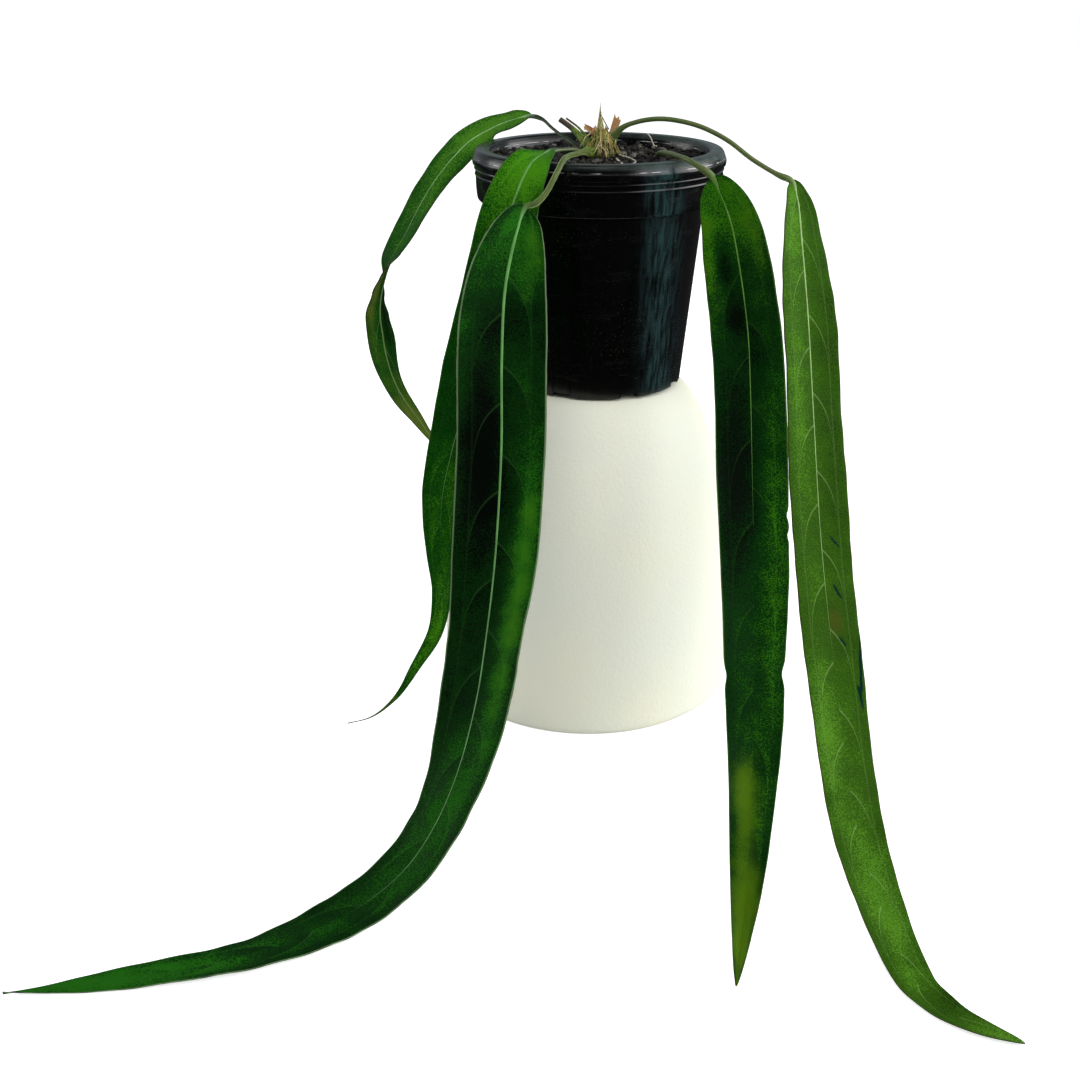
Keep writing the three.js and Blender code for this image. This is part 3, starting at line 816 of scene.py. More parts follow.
def add_tube(mesh: bmesh.types.BMesh, rows: int, around: int, shape: Shape) -> None:
    """Adds a grid that is wrapped into a tube and closed at both ends.

    Args:
        mesh: The mesh that it joins.
        rows: How many faces it has along its length.
        around: How many faces it has round it.
        shape: Gives the place and the carried values at a share along, and an angle in radians.
    """
    made = add_sheet(mesh, rows, around, lambda u, v: shape(u, v * 2 * math.pi))
    bmesh.ops.remove_doubles(mesh, verts=made, dist=1e-7)
    rims = {e for v in made if v.is_valid for e in v.link_edges if e.is_boundary}
    bmesh.ops.holes_fill(mesh, edges=list(rims), sides=0)


def add_strand(
    mesh: bmesh.types.BMesh,
    site: Site,
    points: Sequence[Triple],
    radii: Pair,
    values: dict[str, float],
    uneven: float = 0.12,
    around: int = 8,
) -> None:
    """Adds a thin uneven tube through points.

    Args:
        mesh: The mesh that it joins.
        site: Where the pot's axis stands.
        points: The points, in millimetres.
        radii: The radius at each end.
        values: What its vertices carry.
        uneven: How much the radius varies.
        around: How many faces go round.
    """
    path = Path(points)
    facing = Vector((0.31, 0.23, 1.0))

    def shape(u: float, angle: float) -> Placed:
        """Places a vertex on the tube."""
        section = Section.on(path, u * path.length, facing)
        radius = blend(*radii, u) * (1 + noise.noise(section.centre * 0.9) * uneven)
        return site.place(section.round_point(radius, angle)), values

    add_tube(mesh, max(6, int(path.length / 0.9)), around, shape)


def spun(
    mesh: bmesh.types.BMesh, profile: Sequence[Pair], site: Site, steps: int, x: float = 0.0
) -> None:
    """Spins an outline of radius and height pairs round an upright axis, and closes it.

    Args:
        mesh: An empty mesh.
        profile: The outline, which starts and ends on the axis or forms a closed loop.
        site: Where the pot's axis stands.
        steps: How many faces go round.
        x: How far the axis stands to the right of the pot's.
    """
    centre = site.place(Vector((x, 0, 0)))
    verts = [mesh.verts.new(centre + Vector((r * MM, 0, z * MM))) for r, z in profile]
    edges = [mesh.edges.new(pair) for pair in zip(verts, verts[1:])]
    if profile[0] == profile[-1]:
        bmesh.ops.remove_doubles(mesh, verts=[verts[0], verts[-1]], dist=1e-9)
        verts = [v for v in verts if v.is_valid]
        edges = [e for e in edges if e.is_valid]
    bmesh.ops.spin(
        mesh,
        geom=[*verts, *edges],
        cent=centre,
        axis=(0, 0, 1),
        angle=2 * math.pi,
        steps=steps,
        use_merge=True,
    )
    bmesh.ops.remove_doubles(mesh, verts=mesh.verts[:], dist=1e-6)


def smooth_outline(points: Sequence[Pair], steps: int) -> list[Pair]:
    """Rounds an outline of radius and height pairs.

    Args:
        points: The pairs that it passes through.
        steps: How many short stretches it is cut into.

    Returns:
        The rounded outline.
    """
    path = Path([(r, 0.0, z) for r, z in points])
    places = [path.at(path.length * i / steps) for i in range(steps + 1)]
    return [(p.x, p.z) for p in places]


class Builder:
    """Turns finished meshes into pieces of the object."""

    def __init__(self, site: Site, effects: Effects) -> None:
        """Keeps what every piece needs."""
        self.site = site
        self.effects = effects

    def piece(
        self,
        name: str,
        mesh: bmesh.types.BMesh,
        materials: Sequence[bpy.types.Material],
        nodes: Sequence[str],
        slot: str,
        even: bool = True,
    ) -> bpy.types.Object:
        """Stores a mesh as a piece that stands for solids of the frame.

        Args:
            name: The piece's name.
            mesh: Its mesh, in metres, which is freed.
            materials: Its materials, by face index.
            nodes: The solids that it stands for.
            slot: Not used.
            even: Whether all the normals are turned outwards first.

        Returns:
            The piece.
        """
        if even:
            bmesh.ops.recalc_face_normals(mesh, faces=mesh.faces[:])
        data = bpy.data.meshes.new(name)
        mesh.to_mesh(data)
        mesh.free()
        data.shade_smooth()
        for material in materials:
            data.materials.append(material)
        made = bpy.data.objects.new(name, data)
        bpy.context.scene.collection.objects.link(made)
        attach(made, "root")
        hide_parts(*nodes)
        LOG.info("%s: %d faces", name, len(data.polygons))
        return made


def soften(piece: bpy.types.Object, width: float, segments: int = 2, angle: float = 28.0) -> None:
    """Rounds a piece's hard edges.

    Args:
        piece: The piece.
        width: How wide the round edge is, in millimetres.
        segments: How many faces the round edge has.
        angle: The least angle of a hard edge, in degrees.
    """
    bevel = piece.modifiers.new("rounded", "BEVEL")
    bevel.width = width * MM
    bevel.segments = segments
    bevel.limit_method = "ANGLE"
    bevel.angle_limit = math.radians(angle)
    bevel.harden_normals = False


def settle(piece: bpy.types.Object) -> None:
    """Makes a piece's modifiers part of its mesh.

    Args:
        piece: The piece.
    """
    graph = bpy.context.evaluated_depsgraph_get()
    data = bpy.data.meshes.new_from_object(piece.evaluated_get(graph))
    piece.modifiers.clear()
    old, piece.data = piece.data, data
    bpy.data.meshes.remove(old)
    data.name = piece.name


# Stand, pot and mix


@dataclass
class Planter:
    """The upturned planter that carries the pot, hollow and open below."""

    axis_x: float = -4.0
    wall: float = 7.0
    crown: Outline = ((0, STAND_HEIGHT), (30, STAND_HEIGHT), (46, 212.8), (53, 212.2), (59, 209.6))
    side: Outline = ((64.5, 204.6), (70, 197.0), (76, 184.5), (81.5, 170.5), (87.5, 149), (92, 122))
    foot: Outline = ((95, 90), (96.6, 55), (97, 24), (97, 3), (96.2, 0.8), (94.6, 0))
    around: int = 144

    def build(self, builder: Builder) -> None:
        """Makes the planter.

        Args:
            builder: Stores the piece.
        """
        outside = smooth_outline((*self.crown, *self.side, *self.foot), 90)
        outside[-1] = (self.foot[-1][0], 0.0)
        inner = [(r - self.wall, max(0.0, z - self.wall / 2)) for r, z in (*self.side, *self.foot[:3])]
        inside = smooth_outline([(92, 0), (90.4, 1.2), *reversed(inner), (46, 204.6), (0, 205)], 60)
        mesh = new_mesh()
        spun(mesh, [*outside, *inside], builder.site, self.around, self.axis_x)
        finish = PlanterFinish().material("cream_ceramic", builder.effects)
        builder.piece("planter", mesh, [finish], ["stand_planter"], "stand")


@dataclass
class NurseryPot:
    """The black pot: a tapered body under a beaded collar, with drain holes and a notched foot."""

    foot_radius: float = 54.2
    foot_height: float = 2.4
    foot_width: float = 6.0
    wall: float = 1.6
    body_top: float = 65.0
    mouth: float = 67.1
    lip: float = 75.5
    bead: float = 77.3
    collar: float = RIM - 31.0
    holes: int = 8
    hole_radius: float = 3.5
    hole_circle: float = 36.0
    hole_depth: float = 12.0
    notch: Triple = (16.0, 11.0, 4.8)
    around: int = 144

    def outline(self) -> list[Pair]:
        """Draws the pot's section.

        Returns:
            The outline as radius and height pairs, from the underside over the rim to the floor.
        """
        floor = POT_BASE + self.foot_height
        foot = [
            (0, floor),
            (self.foot_radius - self.foot_width, floor),
            (self.foot_radius - self.foot_width, POT_BASE),
            (self.foot_radius, POT_BASE),
        ]
        body = [(self.body_top, self.collar - 1)]
        under = [
            (self.mouth + self.wall, RIM - 3.4),
            (self.lip - 1.4, RIM - 3.4),
            (self.bead - self.wall, RIM - 7),
            (self.bead - 4.6, self.collar + 6),
            (69.6, self.collar + 1.2),
            (69.6, self.collar - 0.6),
        ]
        face = smooth_outline(
            [
                (71.6, self.collar),
                (74.2, self.collar + 1.4),
                (74.7, self.collar + 3),
                (75.3, self.collar + 9),
                (75.6, self.collar + 15.5),
                (76.0, self.collar + 16),
                (75.7, self.collar + 16.5),
                (75.9, RIM - 11.8),
                (76.4, RIM - 11.4),
                (76.0, RIM - 11),
                (76.1, RIM - 9.4),
                (76.9, RIM - 9.0),
                (self.bead, RIM - 8.2),
                (self.bead, RIM - 5.4),
                (76.9, RIM - 4.6),
                (75.8, RIM - 1.6),
                (74.9, RIM - 0.4),
                (74.2, RIM),
            ],
            96,
        )
        inside = [
            (self.mouth + 1.2, RIM),
            (self.mouth, RIM - 1),
            (self.body_top - self.wall, self.collar),
            (self.foot_radius - self.wall, floor + 1.8),
            (0, floor + 1.8),
        ]
        return [*foot, *body, *under, *face, *inside]

    def cutters(self, site: Site) -> bpy.types.Object:
        """Makes the blocks and rods that cut the foot's notches and the drain holes.

        Args:
            site: Where the pot's axis stands.

        Returns:
            The cutting shapes, as one object.
        """
        mesh = new_mesh()
        stand = Matrix.Translation(site.place(Vector((0, 0, POT_BASE))))
        out = Matrix.Translation((self.foot_radius * MM, 0, 0))
        block = Matrix.Diagonal((*(s * MM for s in self.notch), 1))
        rod = Matrix.Translation((self.hole_circle * MM, 0, self.foot_height * MM))
        for i in range(self.holes):
            turn = Matrix.Rotation((i + 0.5) / self.holes * 2 * math.pi, 4, "Z")
            bmesh.ops.create_cube(mesh, size=1, matrix=stand @ turn @ out @ block)
            bmesh.ops.create_cone(
                mesh,
                cap_ends=True,
                segments=24,
                radius1=self.hole_radius * MM,
                radius2=self.hole_radius * MM,
                depth=self.hole_depth * MM,
                matrix=stand @ turn @ rod,
            )
        data = bpy.data.meshes.new("pot_cutters")
        mesh.to_mesh(data)
        mesh.free()
        made = bpy.data.objects.new("pot_cutters", data)
        bpy.context.scene.collection.objects.link(made)
        return made

    def build(self, builder: Builder) -> None:
        """Makes the pot.

        Args:
            builder: Stores the piece.
        """
        mesh = new_mesh()
        spun(mesh, self.outline(), builder.site, self.around)
        finish = PlasticFinish().material("black_plastic", builder.effects, builder.site)
        pot = builder.piece("pot", mesh, [finish], ["nursery_pot"], "pot")
        cutters = self.cutters(builder.site)
        cut = pot.modifiers.new("foot", "BOOLEAN")
        cut.operation = "DIFFERENCE"
        cut.solver = "EXACT"
        cut.object = cutters
        soften(pot, 0.5)
        settle(pot)
        bpy.data.objects.remove(cutters)


def mix_height(x: float, y: float) -> float:
    """Finds the height of the potting mix at a place; all three are millimetres.

    Args:
        x: How far the place is to the right of the pot's axis.
        y: How far it is behind the axis.

    Returns:
        The height, with large soft lumps and small ones on them.
    """
    chunks = math.sin(0.55 * x + 1.3 * math.sin(0.31 * y)) * math.cos(0.61 * y - 0.9 * math.sin(0.27 * x))
    grit = 0.45 * math.sin(1.21 * x + 0.4) * math.sin(1.13 * y + 1.1)
    return MIX_LEVEL + MIX_LUMP * (chunks + grit)


@dataclass
class PottingMix:
    """Bark and peat that fills the pot: a crumbly bed with loose chips and twigs on it."""

    radius: float = 66.4
    floor_radius: float = 52.2
    floor: float = POT_BASE + 4.6
    rings: int = 44
    around: int = 150
    chips: int = 620
    chip_sizes: Pair = (1.1, 3.8)
    chip_tints: tuple[float, ...] = (0.0, 0.05, 0.15, 0.3, 0.5, 0.9)
    crumbs: int = 520
    crumb_sizes: Pair = (0.4, 0.9)
    crumb_tints: tuple[float, ...] = (0.1, 0.4, 1.1)
    twigs: int = 22
    twig_radii: Pair = (0.35, 0.8)
    twig_step: float = 3.6
    seed: int = 11

    def build(self, builder: Builder) -> None:
        """Makes the bed, its chips and its twigs.

        Args:
            builder: Stores the pieces.
        """
        finish = GrittyFinish().material("bark_and_peat", builder.effects)
        mesh = new_mesh("shade")
        self._bed(mesh, builder.site)
        dice = random.Random(self.seed)
        self._chips(mesh, builder.site, dice)
        self._twigs(mesh, builder.site, dice)
        builder.piece("mix", mesh, [finish], ["potting_mix"], "mix")

    def _bed(self, mesh: bmesh.types.BMesh, site: Site) -> None:
        """Spins the bed and roughens its top.

        Args:
            mesh: The mesh that it joins.
            site: Where the pot's axis stands.
        """
        top = [(self.radius * i / self.rings, MIX_LEVEL) for i in range(self.rings + 1)]
        spun(mesh, [*top, (self.floor_radius, self.floor), (0, self.floor)], site, self.around)
        shade = mesh.verts.layers.float["shade"]
        for vert in mesh.verts:
            x, y = (vert.co.x - site.x) / MM, (vert.co.y - site.y) / MM
            if vert.co.z > (MIX_LEVEL - 1) * MM:
                lump = noise.noise(Vector((x * 0.45, y * 0.45, 3.1))) * 0.9
                crumb = noise.noise(Vector((x * 1.3, y * 1.3, 7.7))) * 0.7
                vert.co.z = (mix_height(x, y) + lump + crumb - 0.9) * MM
            vert[shade] = 0.25 + 0.25 * noise.noise(Vector((x * 0.2, y * 0.2, 1.3)))

    def _chips(self, mesh: bmesh.types.BMesh, site: Site, dice: random.Random) -> None:
        """Scatters chips of bark and small crumbs over the bed.

        Args:
            mesh: The mesh that they join.
            site: Where the pot's axis stands.
            dice: The source of chance.
        """
        shade = mesh.verts.layers.float["shade"]
        for i in range(self.chips + self.crumbs):
            large = i < self.chips
            out = self.radius * math.sqrt(dice.uniform(0.015, 0.93))
            turn = dice.uniform(0, 2 * math.pi)
            x, y = out * math.cos(turn), out * math.sin(turn)
            size = dice.uniform(*(self.chip_sizes if large else self.crumb_sizes))
            flat = dice.uniform(0.25, 0.6)
            spot = site.place(Vector((x, y, mix_height(x, y) + size * flat * 0.25)))
            angles = [dice.uniform(0, 2 * math.pi), dice.uniform(-0.5, 0.5), dice.uniform(-0.5, 0.5)]
            spin = Matrix.Rotation(angles[0], 4, "Z") @ Matrix.Rotation(angles[1], 4, "X")
            spin = spin @ Matrix.Rotation(angles[2], 4, "Y")
            shape = Matrix.Diagonal((size * MM, size * dice.uniform(0.4, 0.9) * MM, size * flat * MM, 1))
            matrix = Matrix.Translation(spot) @ spin @ shape
            made = bmesh.ops.create_icosphere(mesh, subdivisions=1, radius=1, matrix=matrix)["verts"]
            tint = dice.choice(self.chip_tints if large else self.crumb_tints)
            for vert in made:
                vert.co += Vector(dice.uniform(-0.22, 0.22) * size * MM for _ in range(3))
                vert[shade] = tint

    def _twigs(self, mesh: bmesh.types.BMesh, site: Site, dice: random.Random) -> None:
        """Lays thin bent twigs and roots on the bed.

        Args:
            mesh: The mesh that they join.
            site: Where the pot's axis stands.
            dice: The source of chance.
        """
        step = self.twig_step
        for _ in range(self.twigs):
            out, turn = dice.uniform(14, 52), dice.uniform(0, 2 * math.pi)
            x, y = out * math.cos(turn), out * math.sin(turn)
            heading = dice.uniform(0, 2 * math.pi)
            radius = dice.uniform(*self.twig_radii)
            points = []
            for _ in range(5):
                points.append((x, y, mix_height(x, y) + radius * 0.8 + dice.uniform(0, 0.8)))
                heading += dice.uniform(-0.7, 0.7)
                x, y = x + step * math.cos(heading), y + step * math.sin(heading)
            tint = dice.choice((0.2, 0.5, 0.7))
            add_strand(mesh, site, points, (radius, radius * 0.6), {"shade": tint})


# Crown


@dataclass(frozen=True)
class Strip:
    """A torn strip of dry sheath, with its half widths and its stains at the start and the end."""

    points: Points
    widths: Pair
    stains: Pair = (0.1, 0.45)
    facing: Triple = (0.1, -1.0, 0.35)


@dataclass(frozen=True)
class Stub:
    """A cut stalk, with its radius at the base and at the cut end."""

    points: Points
    base: float
    end: float


@dataclass(frozen=True)
class Root:
    """A dry root; the third number of each point is its height over the mix."""

    name: str
    radius: float
    points: Points


@dataclass
class Crown:
    """The short stem with two cut stalks, its dry sheaths, the rolled new leaf and dry roots."""

    neck: Outline = (
        (0, 338.5),
        (5.6, 339),
        (7.2, 344.5),
        (7.2, 352),
        (6.4, 356),
        (4.9, 360),
        (3.4, 364),
        (0, 365.5),
    )
    knot: Triple = (-6.0, -9.5, 355.2)
    knot_lumps: int = 6
    knot_grains: int = 16
    knot_seed: int = 3
    stubs: tuple[Stub, ...] = (
        Stub(((-3, 1, 352), (-8, 4, 358), (-16, 10, 365.5), (-24.3, 14, 371)), 3.1, 1.6),
        Stub(((-2, 3, 353), (-6, 7, 359), (-12.5, 13, 366), (-20.5, 18, 371.2)), 1.3, 0.6),
    )
    strips: tuple[Strip, ...] = (
        Strip(
            points=((-0.8, -4.5, 366), (-2.6, -6, 362.5), (-5, -7.5, 359), (-7, -8.5, 357)),
            widths=(1.3, 0.8),
        ),
        Strip(
            points=((0.4, -5, 367.5), (-0.6, -8, 361.5), (-2, -9.5, 358), (-3, -11, 354.5)),
            widths=(1.4, 0.6),
            stains=(0.1, 0.3),
        ),
        Strip(
            points=((1.8, -5.5, 368), (1.4, -8.5, 361), (0.4, -10.5, 356), (-1, -12.5, 352)),
            widths=(1.2, 0.8),
            stains=(0.3, 0.2),
        ),
        Strip(
            points=((3.2, -5.5, 367), (3.9, -8.5, 361), (4.4, -10.5, 356), (4, -12.5, 352)),
            widths=(1.1, 0.7),
        ),
        Strip(
            points=((4.6, -5, 365.5), (6.2, -8, 360.5), (8, -9.5, 356), (9.5, -11.5, 352.5)),
            widths=(1.0, 0.5),
            stains=(0.5, 0.2),
        ),
        Strip(
            points=((5.4, -4.5, 364), (8.6, -6.5, 360), (11.5, -8.5, 356), (14, -11, 352.5)),
            widths=(0.9, 0.5),
        ),
        Strip(
            points=((-2.5, -2, 356), (-3, -3.5, 363), (-3.6, -3.6, 369)),
            widths=(1.6, 0.6),
            stains=(0.1, 0.7),
        ),
        Strip(
            points=((4.5, -2, 356), (4.2, -3.5, 363), (4.4, -3.4, 370)),
            widths=(1.6, 0.5),
            stains=(0.1, 0.5),
        ),
        Strip(
            points=((6, 2.5, 357), (8, 3.4, 364), (10.2, 4.4, 370), (12, 5.2, 375)),
            widths=(1.9, 2.5),
            stains=(0.6, 1.0),
            facing=(-0.4, -1, 0.2),
        ),
        Strip(
            points=((-1.5, 4, 361), (-4.5, 4.6, 365.5), (-10.3, 6.2, 368)),
            widths=(1.3, 1.5),
            stains=(0.6, 1.0),
            facing=(0, -1, 0.5),
        ),
        Strip(
            points=((-2, 6, 356), (-2, 9, 362), (-2, 11.5, 368)),
            widths=(2.6, 1.0),
            stains=(0.2, 0.8),
            facing=(0, 1, 0.3),
        ),
    )
    back_strips: int = 9
    back_fall: Outline = ((4, 364), (6.5, 360), (9, 356), (11.5, 352.5))
    sheath_seed: int = 5
    sheath_thickness: float = 0.4
    front_fibres: int = 14
    other_fibres: int = 12
    fibre_radii: Pair = (0.3, 0.14)
    fibre_seed: int = 21
    dark_strand: Points = ((1.4, 2.6, 374), (3.6, 2.6, 370.2), (5.9, 2.6, 366.5))
    spear: Points = ((1.2, 0.6, 352.5), (0.9, 0.8, 364), (0.4, 1, 376), (0.3, 1, 382.5))
    spear_radius: float = 2.6
    spear_turns: float = 1.175
    spear_thickness: float = 0.25
    roots: tuple[Root, ...] = (
        Root(
            name="dry_root_front",
            radius=0.6,
            points=((10.5, -10, 1), (12, -24, 1), (14, -40, 1), (16, -54, 1.4), (17, -63.5, 3.4)),
        ),
        Root(
            name="dry_root_side",
            radius=0.5,
            points=((12, -4, 1.2), (17.5, -10, 1.3), (22, -20, 1.3), (20, -31, 1.6)),
        ),
        Root(
            name="dry_root_back",
            radius=0.5,
            points=((37, 46, 1), (35.5, 46, 2), (32.5, 45.5, 6), (30.5, 45, 9)),
        ),
    )

    def build(self, builder: Builder) -> None:
        """Makes the crown's pieces.

        Args:
            builder: Stores the pieces.
        """
        self._stem(builder)
        self._sheaths(builder)
        self._fibres(builder)
        self._new_leaf(builder)
        self._roots(builder)

    def _stem(self, builder: Builder) -> None:
        """Makes the stem, the green knot at its foot and the two cut stalks.

        Args:
            builder: Stores the piece.
        """
        mesh, site = new_mesh("stain"), builder.site
        spun(mesh, smooth_outline(self.neck, 34), site, 36)
        stain = mesh.verts.layers.float["stain"]
        for vert in mesh.verts:
            lump = noise.noise(vert.co / MM * 0.4) * 0.8 * MM
            vert.co += Vector((vert.co.x - site.x, vert.co.y - site.y, 0)).normalized() * lump
            vert[stain] = 0.6 + noise.noise(vert.co / MM * 0.3)
        self._knot(mesh, site)
        for stub in self.stubs:
            self._stub(mesh, site, stub)
        finish = FibreFinish(linear(64, 94, 22), linear(124, 142, 50), linear(74, 62, 44), 0.6)
        green = finish.material("green_stem", builder.effects)
        builder.piece("stem", mesh, [green], ["crown_stem"], "crown")

    def _knot(self, mesh: bmesh.types.BMesh, site: Site) -> None:
        """Adds the lumpy green knot from which the front leaf's stalk grows.

        Args:
            mesh: The mesh that it joins.
            site: Where the pot's axis stands.
        """
        stain = mesh.verts.layers.float["stain"]
        dice = random.Random(self.knot_seed)
        for i in range(self.knot_lumps + self.knot_grains):
            large = i < self.knot_lumps
            reach = (3.0, 1.5, 1.2) if large else (5.0, 2.4, 2.2)
            spot = Vector(self.knot) + Vector(dice.uniform(-r, r) for r in reach)
            size = (dice.uniform(2.2, 3.2) if large else dice.uniform(0.6, 1.2)) * MM
            matrix = Matrix.Translation(site.place(spot)) @ Matrix.Diagonal((size, size, size * 0.8, 1))
            made = bmesh.ops.create_icosphere(mesh, subdivisions=2, radius=1, matrix=matrix)["verts"]
            for vert in made:
                vert.co += Vector((0, 0, noise.noise(vert.co / MM * 0.7) * 0.5 * MM))
                vert[stain] = 0.0 if large else dice.uniform(-0.4, 0.3)

    @staticmethod
    def _stub(mesh: bmesh.types.BMesh, site: Site, stub: Stub) -> None:
        """Adds one cut stalk whose end is dark and hollowed.

        Args:
            mesh: The mesh that it joins.
            site: Where the pot's axis stands.
            stub: The stalk.
        """
        path = Path(stub.points)
        facing = Vector((0.3, 1, 0.1))
        outside, hollow = 0.94, 1.2

        def shape(u: float, angle: float) -> Placed:
            """Places a vertex on the outside, or on the last short share that turns inwards."""
            along = min(u / outside, 1.0)
            inward = max(0.0, (u - outside) / (1 - outside))
            section = Section.on(path, along * path.length, facing)
            radius = blend(stub.base, stub.end, smooth(0, 0.8, along)) * (1 + 0.06 * math.cos(3 * angle))
            place = section.round_point(radius * (1 - 0.8 * inward), angle)
            place -= path.direction(along * path.length) * hollow * inward
            return site.place(place), {"stain": smooth(0.35, 0.98, u)}

        add_tube(mesh, 34, 20, shape)

    def _sheaths(self, builder: Builder) -> None:
        """Makes the papery sheaths, torn into strips that fan out over the mix.

        Args:
            builder: Stores the piece.
        """
        mesh = new_mesh("stain")
        dice = random.Random(self.sheath_seed)
        for strip in (*self.strips, *self._back_strips(dice)):
            self._strip(mesh, builder.site, strip, dice)
        bmesh.ops.solidify(mesh, geom=mesh.faces[:], thickness=self.sheath_thickness * MM)
        finish = FibreFinish(linear(160, 158, 84), linear(70, 78, 26), linear(186, 142, 96))
        paper = finish.material("dry_sheath", builder.effects)
        builder.piece("sheaths", mesh, [paper], ["crown_sheaths"], "sheath")

    def _back_strips(self, dice: random.Random) -> list[Strip]:
        """Scatters strips round the back and the sides of the stem.

        Args:
            dice: The source of chance.

        Returns:
            The strips.
        """
        made = []
        for i in range(self.back_strips):
            turn = math.radians(-20 + 27.5 * i + dice.uniform(-8, 8))
            out = Vector((math.cos(turn), math.sin(turn), 0))
            places = [out * r + Vector((0.8, 0, z + dice.uniform(-1, 1))) for r, z in self.back_fall]
            widths = (dice.uniform(1.0, 2.0), 0.7)
            points = tuple(tuple(place) for place in places)
            made.append(Strip(points, widths, (0.1, 0.6), (out.x, out.y, 0.4)))
        return made

    @staticmethod
    def _strip(mesh: bmesh.types.BMesh, site: Site, strip: Strip, dice: random.Random) -> None:
        """Adds one strip that ends in torn points.

        Args:
            mesh: The mesh that it joins.
            site: Where the pot's axis stands.
            strip: The strip.
            dice: The source of chance.
        """
        path = Path(strip.points)
        tears = [dice.uniform(0.8, 1.0) for _ in range(7)]
        wave = dice.uniform(0, 6)

        def shape(u: float, v: float) -> Placed:
            """Places a vertex on the curled strip, whose end is drawn back between its points."""
            s = 2 * v - 1
            spot = v * (len(tears) - 1)
            low = min(int(spot), len(tears) - 2)
            torn = blend(tears[low], tears[low + 1], spot - low)
            along = u * blend(1.0, torn, smooth(0.4, 1.0, u))
            section = Section.on(path, along * path.length, Vector(strip.facing))
            width = blend(*strip.widths, along)
            curl = 0.35 * width * s * s + 0.3 * math.sin(6 * u + wave + 3 * s)
            stain = blend(*strip.stains, smooth(0.3, 1.0, u))
            return site.place(section.point(width * s, curl)), {"stain": stain}

        add_sheet(mesh, 22, 8, shape)

    def _fibres(self, builder: Builder) -> None:
        """Makes the pale curled fibres that hang from the stem, and one dark strand.

        Args:
            builder: Stores the piece.
        """
        mesh = new_mesh("stain")
        dice = random.Random(self.fibre_seed)
        for i in range(self.front_fibres + self.other_fibres):
            sector = (-100, -15) if i < self.front_fibres else (-15, 210)
            turn = math.radians(dice.uniform(*sector))
            out = Vector((math.cos(turn), math.sin(turn), 0))
            place = out * dice.uniform(5, 7.5) + Vector((1, 0, dice.uniform(356, 366)))
            points = [tuple(place)]
            for _ in range(5):
                place = place + out * dice.uniform(0.2, 1.9)
                place += Vector(dice.uniform(-1.7, 1.7) for _ in range(3))
                place.z = max(place.z - dice.uniform(0.6, 3.0), MIX_LEVEL + 2.5)
                points.append(tuple(place))
            values = {"stain": dice.choice((0.0, 0.1, 0.6))}
            add_strand(mesh, builder.site, points, self.fibre_radii, values, around=5)
        add_strand(mesh, builder.site, self.dark_strand, (0.35, 0.3), {"stain": 1.2}, around=6)
        finish = FibreFinish(linear(226, 212, 168), linear(190, 170, 112), linear(84, 62, 34))
        fine = finish.material("dry_fibre", builder.effects)
        builder.piece("fibres", mesh, [fine], ["crown_sheaths"], "sheath")

    def _new_leaf(self, builder: Builder) -> None:
        """Makes the new leaf, rolled round itself into a sharp point.

        Args:
            builder: Stores the piece.
        """
        mesh = new_mesh("stain")
        path = Path(self.spear)
        facing = Vector((0.2, -1, 0.1))

        def shape(u: float, v: float) -> Placed:
            """Places a vertex on the roll, which has speckles and a dark tip and outer margin."""
            section = Section.on(path, u * path.length, facing)
            slim = self.spear_radius * (1 - smooth(0.35, 1.0, u)) + 0.12
            angle = v * self.spear_turns * 2 * math.pi + 0.8
            place = section.round_point(slim * (0.82 + 0.18 * v), angle)
            stain = 0.4 * smooth(0.8, 1.0, u) + 0.7 * (v < 0.07)
            stain += 2.2 * max(0.0, noise.noise(place * 1.3))
            return builder.site.place(place), {"stain": stain}

        add_sheet(mesh, 60, 40, shape)
        bmesh.ops.solidify(mesh, geom=mesh.faces[:], thickness=self.spear_thickness * MM)
        finish = FibreFinish(linear(130, 132, 66), linear(186, 178, 116), linear(62, 54, 24), 0.6)
        young = finish.material("rolled_leaf", builder.effects)
        builder.piece("new_leaf", mesh, [young], ["new_leaf_spear"], "spear")

    def _roots(self, builder: Builder) -> None:
        """Makes the pale dry roots that lie on the mix.

        Args:
            builder: Stores the pieces.
        """
        finish = FibreFinish(linear(226, 220, 204), linear(196, 184, 160), linear(140, 116, 86))
        pale = finish.material("dry_root", builder.effects)
        for root in self.roots:
            mesh = new_mesh("stain")
            points = [(x, y, mix_height(x, y) + above + root.radius) for x, y, above in root.points]
            radii = (root.radius, root.radius * 0.6)
            add_strand(mesh, builder.site, points, radii, {"stain": 0.1}, 0.3, 10)
            builder.piece(f"{root.name}_strand", mesh, [pale], [root.name], "root")


# Leaves


@dataclass(frozen=True)
class Patch:
    """A soft patch on a blade that shifts its green: its tone is painted light and shade, lighter or
    darker where light falls, and its olive shifts the hue; places are shares of length and half width.
    """

    along: float
    across: float
    length: float
    width: float
    # Painted light and shade: how much lighter (plus) or darker (minus) the patch paints the green.
    tone: float = 0.0
    olive: float = 0.0

    def weight(self, along: float, across: float) -> float:
        """Tells how strongly the patch acts at a place.

        Args:
            along: The share of the blade's length.
            across: The share of its half width.

        Returns:
            The strength, 0 to 1.
        """
        a = (along - self.along) / self.length
        b = (across - self.across) / self.width
        return math.exp(-1.6 * (a * a + b * b))


@dataclass(frozen=True)
class Slit:
    """A short dark scar on a blade."""

    along: float
    across: float
    length: float
    lean: float
    width: float = 0.07

    def weight(self, along: float, across: float) -> float:
        """Tells how strongly the scar acts at a place.

        Args:
            along: The share of the blade's length.
            across: The share of its half width.

        Returns:
            The strength, 0 to 1.
        """
        a = (along - self.along) / self.length
        b = (across - self.across - self.lean * a) / self.width
        return max(0.0, 1 - a * a - b * b)


